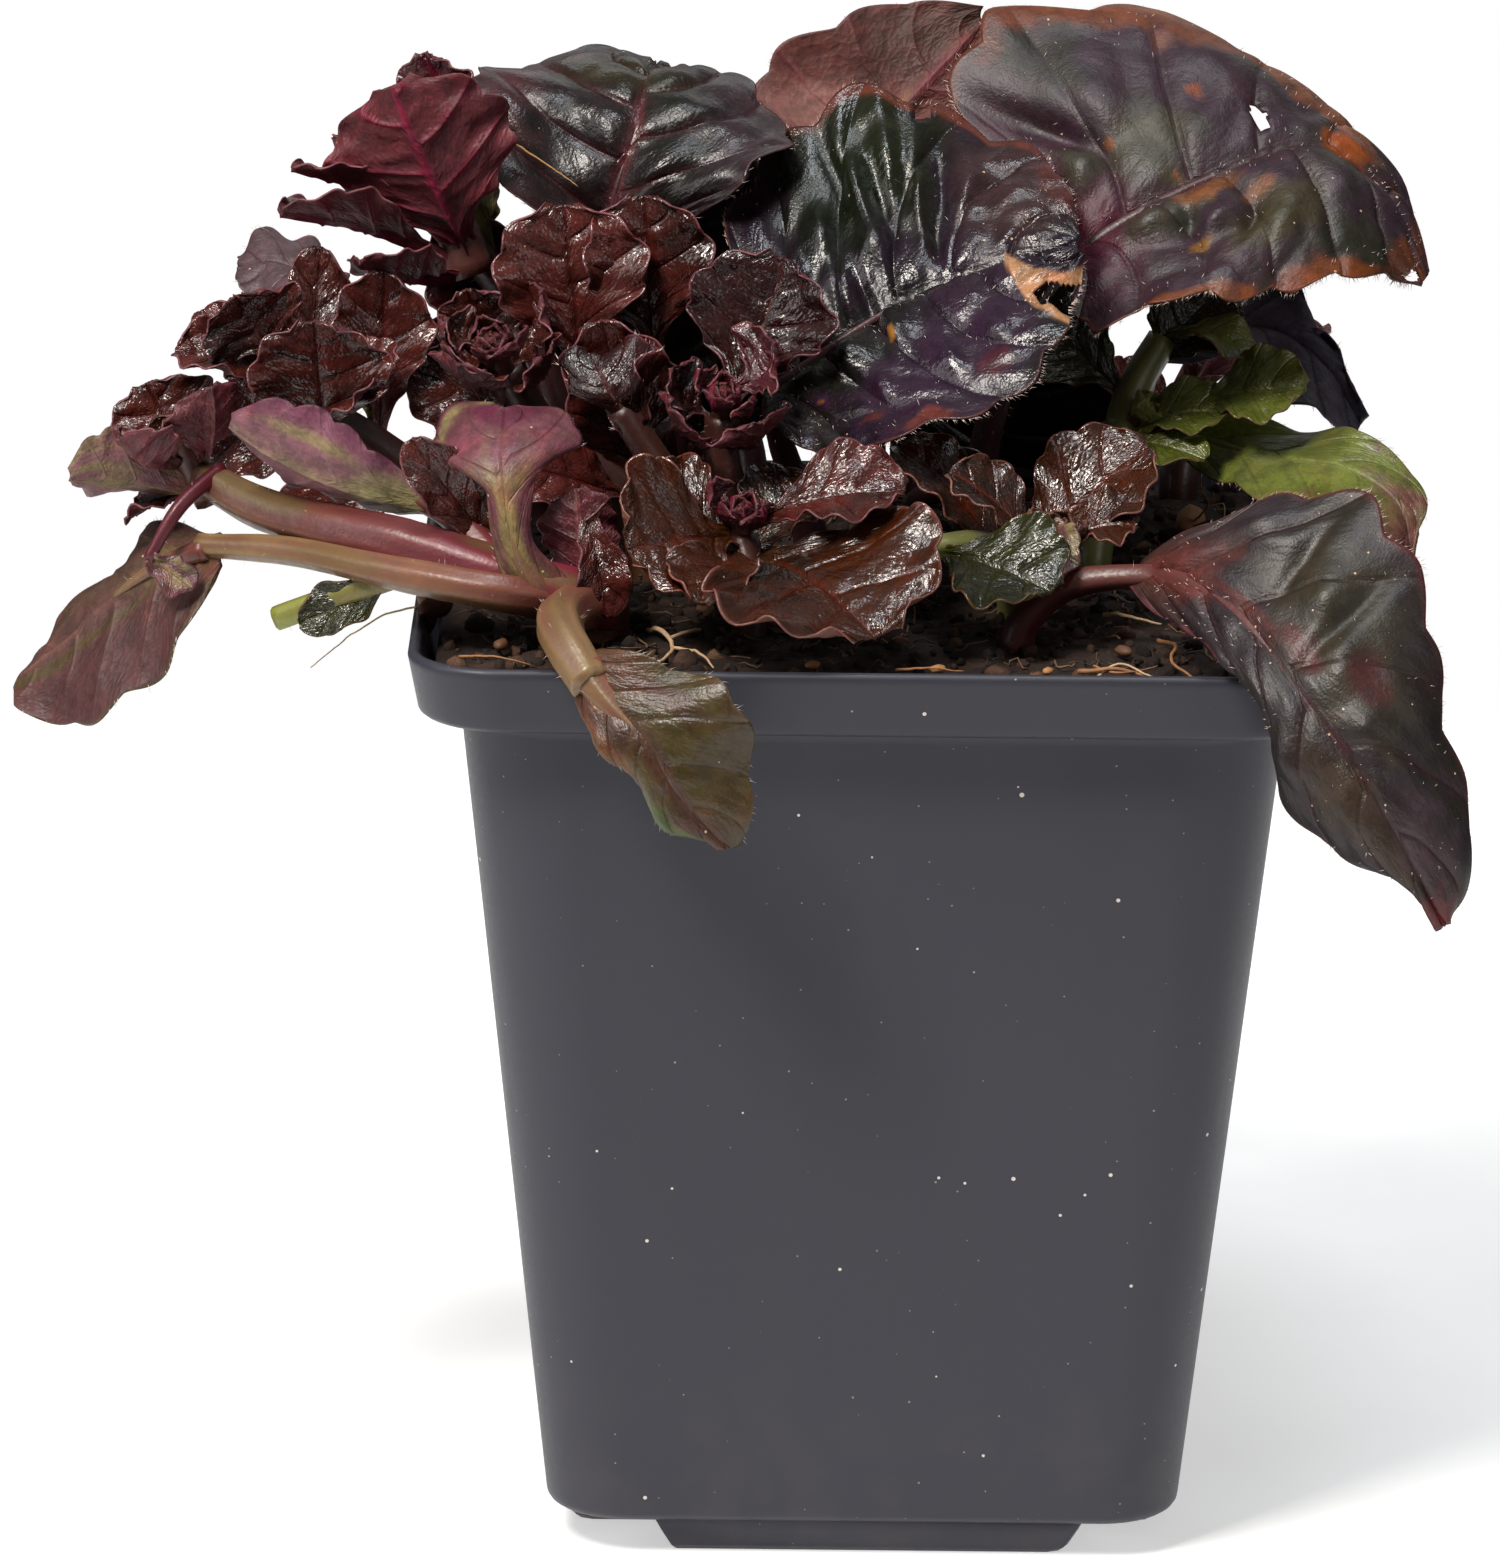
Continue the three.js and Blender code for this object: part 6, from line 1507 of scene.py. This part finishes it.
SHOOTS = {
    "shoot_upper_left": dict(
        look="plum", heart="plum", stem="dark",
        stems=[stalk([(-31, 9, 106), (-36, 9, 118), (-42, 7, 126)], 2.2, 1.6, foot=(-28, 8))],
        rosette=dict(
            at=(-42, 7, 127), axis=(-0.35, 0.1, 1), length=12, seed=11, pairs=0,
            leaves=[
                small((-48, 0, 142), 15, -2, start=(-40, 6, 123), face=TOWARDS_BACK, scallops=4),
                small((-45, 12, 143), 8, -1.5),
                small((-44, 15, 136), 7, -1.5, start=(-38, 8, 122), face=(-0.6, 0.6, 0.2), look="moss"),
                small((-54, 9, 135), 9, -1.5), small((-58, 2, 133), 6, 1),
                small((-59, -1, 129), 8, 1, cup=0.5), small((-46, 21, 134), 10, 1),
                small((-51, -4, 125), 8, -1),
            ],
        ),
        leaves=[
            small((-46, 7, 115), 8, 1, start=(-32, 9, 108), face=TOWARDS_FRONT),
            small((-43, 10, 126), 9, -1, start=(-34, 9, 112), face=TOWARDS_FRONT),
        ],
    ),
    "shoot_left": dict(
        look="bronze", stem="bronze",
        stems=[stalk([(-40, -5, 99), (-48, -6, 106), (-56, -6, 111)], 2.2, 1.8, foot=(-36, -4))],
        rosette=dict(
            at=(-56, -6, 111), axis=(-0.3, -0.5, 1), length=10.8, seed=23, pairs=0,
            leaves=[
                small((-55, -13, 121), 11, 1, start=(-54, -8, 108), face=TOWARDS_FRONT, scallops=4),
                small((-63, -9, 122.5), 9, -1, face=TOWARDS_FRONT),
                small((-55, 1, 125.5), 5, -1, face=TOWARDS_FRONT),
                small((-62, 1, 120), 10, -1, face=(0.3, -1, 0.3)),
                small((-48.5, -3, 124), 8, -1.5, start=(-49, -6, 107), face=TOWARDS_FRONT),
                small((-47, -12, 116), 8, 1), small((-67, 5, 118), 6, 1),
                small((-69, -8, 116.5), 7, 1, cup=0.5),
            ],
        ),
        leaves=[
            small((-51.5, 0.5, 121), 4.5, -1, start=(-49.5, -4, 107), face=TOWARDS_FRONT, look="green"),
            small((-61, 3, 112.5), 6, -1, start=(-50, -5, 107), face=TOWARDS_FRONT),
            small((-67, -2, 107.5), 8, 1, start=(-52, -6, 107.5), face=TOWARDS_FRONT),
            small((-59, -9, 98.5), 7, 1, start=(-45, -6, 104), face=TOWARDS_FRONT),
        ],
    ),
    "shoot_crown": dict(
        look="bronze", heart="umber", stem="junction",
        stems=[
            stalk([(-27, -28, 98)], 3.6, 3, foot=(-27, -27)),
            stalk(
                [(-26, -28, 96.5), (-32, -31, 98.5), (-46, -27, 102), (-60, -17, 103), (-66, -12, 105)], 3,
                1.8,
            ),
            stalk(
                [(-28, -28, 96.5), (-36, -34, 99), (-47, -30, 100), (-57, -22, 100), (-66, -16, 99)], 2,
                1.2, look="pale",
            ),
            stalk(
                [(-28, -28, 96.5), (-30, -37, 97.5), (-30, -44, 97.5), (-27, -50, 94)], 2.6, 2,
                look="pale",
            ),
            stalk([(-28, -28, 96), (-34, -31, 99), (-42, -25, 105), (-52, -22, 108)], 2, 1),
            stalk([(-64, -13, 106), (-68, -17, 103), (-71, -18.5, 98)], 0.9, 0.6, look="magenta"),
            stalk([(-44, -29, 100), (-52, -26, 96.5), (-58, -23, 93.5)], 1.2, 1.3, look="stub"),
        ],
        rosette=dict(
            at=(-67, -12, 106), axis=(-0.5, -0.2, 1), length=8, seed=31,
            leaves=[
                small((-72, -6, 113), 9, -1, face=TOWARDS_FRONT), small((-74, -17, 110), 7, -1, cup=0.6),
                small((-65, -16, 115), 7, -1, face=(-0.6, 0.8, 0.2)),
                small((-79, -14, 105), 7, 0.5, cup=0.6, face=(0, 0.8, 0.5), waist=0.5, look="mauve"),
                small((-73, -8, 100), 6, 1),
            ],
        ),
        drawn=[
            dict(
                look="hanging", stem="pale", scallops=4, girth=1.2,
                rib=[(-64, -17, 99), (-70, -14, 96), (-75, -12, 92), (-80, -10, 87), (-86, -8, 82)],
                left=[(-64, -15, 100), (-70, -8, 99), (-76, -3, 93), (-81, -2, 87), (-86, -6, 82)],
                right=[(-64, -18, 97), (-67, -20, 92), (-70, -20, 88), (-78, -16, 81), (-85, -10, 81)],
                # The second patch lightens the left side of this blade as painted light, and the third
                # darkens its right side as painted shade
                patches=[
                    (0.15, 0.1, 0.3, 0.25, (124, 112, 70), 0.7), (0.6, 0.3, 0.3, 0.4, (108, 82, 76), 0.6),
                    (0.5, -0.8, 0.4, 0.4, (84, 54, 56), 0.7),
                ],
            ),
            dict(
                look="hanging", stem="pale", scallops=4, margin_hairs=40, girth=2,
                rib=[(-28, -48, 96), (-26, -51, 93), (-22, -54, 90), (-19, -55, 85), (-14, -54, 79)],
                left=[(-26, -48, 97), (-19, -52, 96), (-14, -54, 94), (-12, -54, 87), (-13, -53, 79)],
                right=[(-29, -49, 95), (-28, -51, 91), (-25, -53, 88), (-20, -54, 82), (-15, -54, 79)],
                patches=[
                    (0.0, 0.0, 0.25, 0.3, (176, 136, 104), 0.9),
                    (0.75, -0.9, 0.4, 0.3, (84, 104, 62), 0.8), (0.35, -0.9, 0.3, 0.3, (112, 72, 52), 0.7),
                ],
            ),
            dict(
                look="mauve", stem="pale", scallops=4, ruffle=0.3, girth=2, petiole=[(-29, -29, 96)],
                rib=[(-32, -33, 98), (-35, -34, 104), (-36, -32, 111), (-36, -24, 115)],
                left=[
                    (-34, -33, 97), (-37, -33, 104), (-38, -31, 110), (-43, -27, 111), (-41, -22, 114),
                    (-37, -22, 115),
                ],
                right=[
                    (-29, -32, 99), (-33, -33, 104), (-33, -31, 110), (-29, -27, 112), (-31, -22, 114),
                    (-35, -22, 115),
                ],
                patches=[
                    (0.2, 0.0, 0.4, 0.5, (164, 150, 106), 0.75),
                    (0.75, 0.0, 0.16, 0.8, (126, 82, 92), 0.7), (0.93, 0.0, 0.07, 1.0, (94, 42, 62), 0.85),
                ],
            ),
        ],
        leaves=[
            small(
                (-63, -20, 112), 9, -2, start=(-42, -25, 105), cup=0.5, face=(0, 0.8, 0.6), waist=0.5,
                look="mauve",
                patches=[
                    (0.1, 0.0, 0.3, 0.8, (150, 146, 108), 0.8), (0.6, -0.9, 0.4, 0.35, (112, 60, 84), 0.8),
                    (0.6, 0.95, 0.4, 0.25, (112, 60, 84), 0.7),
                ],
            ),
            small((-56, -27, 94), 4, -1, start=(-46, -29, 99), face=(0, -1, 0.4), look="moss"),
            small(
                (-66.5, -20, 95.5), 3, -0.5, start=(-71, -18.5, 98.4), face=(0, -1, 0.4), waist=0.5,
                look="mauve",
            ),
            small((-29, -28, 108), 6, -1, start=(-28, -28, 97), face=(0, 1, 0.2), waist=0.7),
            small((-26, -32, 96), 4.5, 1, start=(-28, -28, 105), face=(0.4, -1, 0.3), waist=0.4),
            small((-45, -29, 113), 4.5, 1, start=(-38, -27, 103), face=(0, -1, 0.2), waist=0.6),
        ],
    ),
    "shoot_cup": dict(
        look="bronze", stem="bronze",
        stems=[
            stalk([(-25, -3, 101), (-33, -2, 108), (-36.5, -3, 114)], 2.2, 1.8, foot=(-22, -4)),
            stalk([(-24, -3, 99), (-28, -1, 106), (-29, 0, 113)], 1.6, 1.1),
            stalk([(-23, -4, 98), (-22, 0, 106), (-22, 2, 115)], 1.6, 1.1),
        ],
        rosette=dict(
            at=(-37, -4, 114.5), axis=(-0.2, -0.7, 1), length=8.7, seed=41,
            leaves=[
                small((-42.5, -9, 118), 7.5, -1), small((-40.5, 0, 121.5), 7, -1, face=TOWARDS_FRONT),
                small((-33, -4, 122.5), 8, -1.5, face=(-0.8, -0.4, 0.3)),
                small((-41, -11, 116.5), 7, -1.5), small((-32, -10, 117.5), 6, -1),
            ],
        ),
        leaves=[
            small((-31, 1, 130), 12, 1, start=(-29, 0, 112), face=TOWARDS_FRONT, scallops=4),
            small((-23, 1, 131), 10, 1, start=(-22, 2, 114), face=TOWARDS_FRONT, scallops=4),
            small((-27, -11, 121), 9, 1, start=(-22, -4, 101), face=TOWARDS_FRONT),
            small((-36, -10, 106), 7, 1, start=(-24, -4, 101), face=(0, -0.8, 0.6)),
            small((-46, -2, 114), 8, 1, start=(-30, -2.5, 106.5), face=TOWARDS_FRONT),
        ],
    ),
    "shoot_middle": dict(
        # The leaves of this rosette take the darker copy of the bronze look, as painted shade
        look="wine", heart="plum", stem="bronze",
        stems=[
            stalk([(-13, -14, 100), (-15, -14, 108), (-15, -14, 112)], 2, 1.6, foot=(-13, -14)),
            stalk([(-13, -14, 98), (-18, -15, 103), (-25, -15, 113)], 1.8, 1.4),
        ],
        rosette=dict(
            at=(-15, -14, 112), axis=(0.1, -0.6, 1), length=7, seed=53,
            leaves=[
                small((-9, -9, 127), 12, -1, face=(-0.3, -1, 0.3), scallops=4),
                small((-10, -16, 120), 9, -1.5, face=(-0.8, -0.5, 0.4), look="plum"),
                small((-11, -20, 113), 8, -1.5), small((-20, -15, 117), 6, -1),
                small((-20, -19, 114), 6, -1),
            ],
        ),
        drawn=[
            dict(
                scallops=3, girth=1.6, rib=[(-23, -15, 111), (-26, -16, 115), (-28, -13, 118)],
                left=[(-24, -15, 110), (-28, -15, 114), (-31, -13, 117), (-28, -12, 118)],
                right=[(-22, -15, 112), (-23, -16, 117), (-22, -13, 119), (-27, -12, 118)],
            ),
        ],
    ),
    "shoot_front": dict(
        look="umber", heart="plum", stem="bronze",
        stems=[stalk([(-12, -25, 98), (-13, -23, 102)], 2, 1.6, foot=(-12, -26))],
        rosette=dict(
            at=(-13, -23, 102), axis=(0, -0.5, 1), length=7.7, seed=61,
            leaves=[
                small((-24, -33, 103), 13, 1, face=(0, -0.8, 0.6)), small((-23, -22, 106.5), 9, 0.5),
                small((3, -26, 107.5), 9, 1.5, look="bronze"), small((0, -43, 97), 19, 2.5, scallops=4),
                small((-6, -15, 106), 8, 1), small((-17, -38, 99), 7, 1.5),
            ],
        ),
    ),
    "shoot_right": dict(
        look="umber", stem="green",
        stems=[
            stalk([(14, -20, 97), (17, -24, 100)], 2, 1.6, foot=(14, -19)),
            stalk([(15, -21, 99), (10, -25, 102), (5, -27, 102)], 1.6, 1.2),
        ],
        rosette=dict(
            at=(17, -24, 101), axis=(0.2, -0.4, 1), length=6.8, seed=71,
            leaves=[
                small((27, -17, 110), 10, 1.5, start=(14, -20, 98)), small((7, -24, 109), 7, 1),
                small(
                    (17, -32, 100), 6, 1.5, start=(15, -22, 103), face=(0, -0.8, 0.6), waist=0.6,
                    look="mauve",
                ),
                small((17, -36, 100), 10, 1, start=(6, -27, 101.5), face=(0, -0.6, 0.8), look="moss"),
                small((25.5, -25, 104), 7, 1), small((2, -17, 110), 8, 1.5, start=(13, -20, 98)),
            ],
        ),
    ),
    "shoot_small_green": dict(
        look="green", stem="green",
        stems=[
            stalk([(23, 2, 100), (25, 6, 107)], 1.8, 1.6, foot=(22, -1)),
            stalk([(24, 4, 103), (26, 8, 110), (29, 10, 115)], 1.8, 1.5),
        ],
        rosette=dict(
            at=(25, 6, 107), axis=(0.8, -0.3, 0.6), length=7, seed=83, pairs=0,
            leaves=[
                small((38, 7, 113), 5, 2, start=(29, 10, 115), face=(0, -0.3, 1)),
                small((36, 3, 109), 6, 1.5, face=(0, -0.6, 1)),
                small((43, 1, 112), 7, 1, start=(32, 6, 109), face=(0, -0.8, 0.8)),
                small((33, -1, 105), 5, 1.5, face=(0, -0.6, 1)),
            ],
        ),
        leaves=[
            small((15, 11, 119), 8, 0, start=(25.5, 8.5, 109), face=TOWARDS_FRONT, look="moss"),
            small((35, 13, 120), 8, 1, start=(27, 9.5, 112), face=TOWARDS_FRONT, look="moss"),
        ],
    ),
    "shoot_back_left": dict(
        look="bronze", stems=[stalk([(-29, 34, 100), (-32, 36, 108)], 2.2, 1.8, foot=(-28, 32))],
        rosette=dict(
            at=(-32, 36, 109), axis=(-0.4, 0.5, 1), length=10, seed=97,
            leaves=[
                small((-46, 38, 114), 12, 2), small((-40, 49, 110), 12, 2, scallops=2),
                small((-27, 42, 121), 8, 1), small((-38, 27, 118), 9, 1),
            ],
        ),
        leaves=[
            small((-17, 29, 105), 9, 1.5, start=(-28.5, 33, 98), face=(0, -0.5, 0.9)),
            small((-42, 26, 104), 9, 1.5, start=(-29, 33, 99), face=(0, -0.5, 0.9)),
        ],
    ),
    "shoot_back_middle": dict(
        look="umber", stems=[stalk([(4, 36, 99), (4, 39, 104)], 2, 1.6, foot=(4, 34))],
        rosette=dict(
            at=(4, 40, 105), axis=(0, 0.5, 1), length=9, seed=107,
            leaves=[
                small((5, 57, 107), 14, 2.5), small((-7, 42, 111), 8, 1), small((14, 40, 112), 8, 1),
                small((2, 31, 112), 8, 1),
            ],
        ),
        leaves=[
            small((-8, 30, 105), 9, 1.5, start=(4, 35, 97), face=(0, -0.5, 0.9)),
            small((13, 27, 105), 8, 1.5, start=(4, 35, 98), face=(0, -0.5, 0.9)),
        ],
    ),
    "shoot_back_right": dict(
        look="bronze", stems=[stalk([(33, 37, 99), (34, 39, 105)], 2, 1.6, foot=(32, 35))],
        rosette=dict(
            at=(34, 39, 106), axis=(0.4, 0.4, 1), length=9, seed=101,
            leaves=[
                small((47, 35, 109), 11, 2), small((46, 48, 106), 10, 2, scallops=2),
                small((36, 29, 112), 8, 1),
            ],
        ),
        leaves=[small((23, 31, 105), 8, 1.5, start=(32.5, 36, 98), face=(0, -0.5, 0.9))],
    ),
}


# The pieces, each in place of its solid

plant_materials = [
    leaf_material("broad_leaf_face", True, 0.16, 0.58, 0.3, freckles=0.3),
    leaf_material("leaf_back", False, 0.34, 0.66, 0.7, freckles=0.06),
    stem_material(),
    hair_material(),
    leaf_material("young_leaf_face", True, 0.16, 0.44, 0.55, freckles=0.08, gloss=0.6),
]
peat_materials = [peat_material(), fibre_material()]


def finish_piece(piece, node):
    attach(piece, "root")
    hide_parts(node)


for number, (node, leaf) in enumerate(LARGE_LEAVES.items()):
    whole = Bundle()
    large_leaf(whole, leaf, LEAF_SEED + LEAF_SEED_STEP * number)
    finish_piece(whole.make(node + "_blade", plant_materials), node)

for number, (node, parts) in enumerate(SHOOTS.items()):
    whole = Bundle()
    shoot(whole, parts, SHOOT_SEED + SHOOT_SEED_STEP * number)
    finish_piece(whole.make(node + "_leaves", plant_materials), node)

finish_piece(make_pot(pot_material()), "pot")
finish_piece(make_soil(peat_materials), "soil")


# Camera, a pale floor, and soft studio light from the upper left, with fills all round

def place_camera():
    """The camera of the photograph, level but for a slight roll."""
    forward = np.array([0, math.cos(CAMERA_ELEVATION), -math.sin(CAMERA_ELEVATION)])
    right = np.array([1.0, 0, 0])
    up = np.cross(right, forward)
    level = right * math.cos(CAMERA_ROLL) - up * math.sin(CAMERA_ROLL)
    upright = np.cross(level, forward)
    data = bpy.data.cameras.new("camera")
    data.lens = CAMERA_LENS
    data.sensor_width = CAMERA_SENSOR
    data.clip_end = 20
    camera = bpy.data.objects.new("camera", data)
    eye = (np.array(CAMERA_TARGET) - forward * CAMERA_DISTANCE) * MM
    turn = Matrix([level, upright, -forward]).transposed().to_4x4()
    camera.matrix_world = Matrix.Translation(Vector(eye)) @ turn
    bpy.context.scene.collection.objects.link(camera)
    bpy.context.scene.camera = camera


def add_light(name, place, size, power, colour=(1, 1, 1)):
    """An area light that faces the plant."""
    data = bpy.data.lights.new(name, "AREA")
    data.shape = "RECTANGLE"
    data.size, data.size_y = size
    data.energy = power
    data.color = colour
    light = bpy.data.objects.new(name, data)
    light.location = place
    aim = Vector((0, 0, LIGHT_AIM)) - Vector(place)
    light.rotation_euler = aim.to_track_quat("-Z", "Y").to_euler()
    bpy.context.scene.collection.objects.link(light)


def light_the_sky():
    """A world that is white to the camera and gives soft light, more from above than from below."""
    world = bpy.data.worlds.new("studio")
    world.use_nodes = True
    sky = world.node_tree
    nodes, link = sky.nodes, sky.links.new
    toward = nodes.new("ShaderNodeSeparateXYZ")
    link(nodes.new("ShaderNodeTexCoord").outputs["Generated"], toward.inputs[0])
    height = nodes.new("ShaderNodeMapRange")
    for name, value in (("From Min", -0.1), ("From Max", 0.9), ("To Min", 0.05), ("To Max", 0.22)):
        height.inputs[name].default_value = value
    link(toward.outputs[2], height.inputs["Value"])
    share = nodes.new("ShaderNodeMix")
    link(nodes.new("ShaderNodeLightPath").outputs["Is Camera Ray"], share.inputs[0])
    link(height.outputs[0], share.inputs[2])
    share.inputs[3].default_value = 1.0
    link(share.outputs[0], nodes["Background"].inputs["Strength"])
    nodes["Background"].inputs["Color"].default_value = (1, 1, 1, 1)
    bpy.context.scene.world = world


place_camera()

bpy.ops.mesh.primitive_plane_add(size=FLOOR_SIZE, location=(0, 0, 0))
floor = bpy.context.object
floor.name = "floor"
floor.data.materials.append(floor_material())

light_the_sky()
add_light("key", (-0.45, -0.55, 1.0), (0.3, 0.3), 16, (1, 0.95, 0.88))
add_light("top", (0.05, -0.1, 1.2), (0.3, 0.3), 4.6, (0.9, 0.95, 1))
add_light("side", (-1.0, -0.3, 0.5), (0.3, 0.9), 3.2)
add_light("fill", (0.9, -0.7, 0.5), (0.5, 0.5), 1.4)
add_light("back", (0.1, 1.0, 0.6), (0.9, 0.5), 1.0)
bpy.context.scene.view_settings.view_transform = "Standard"
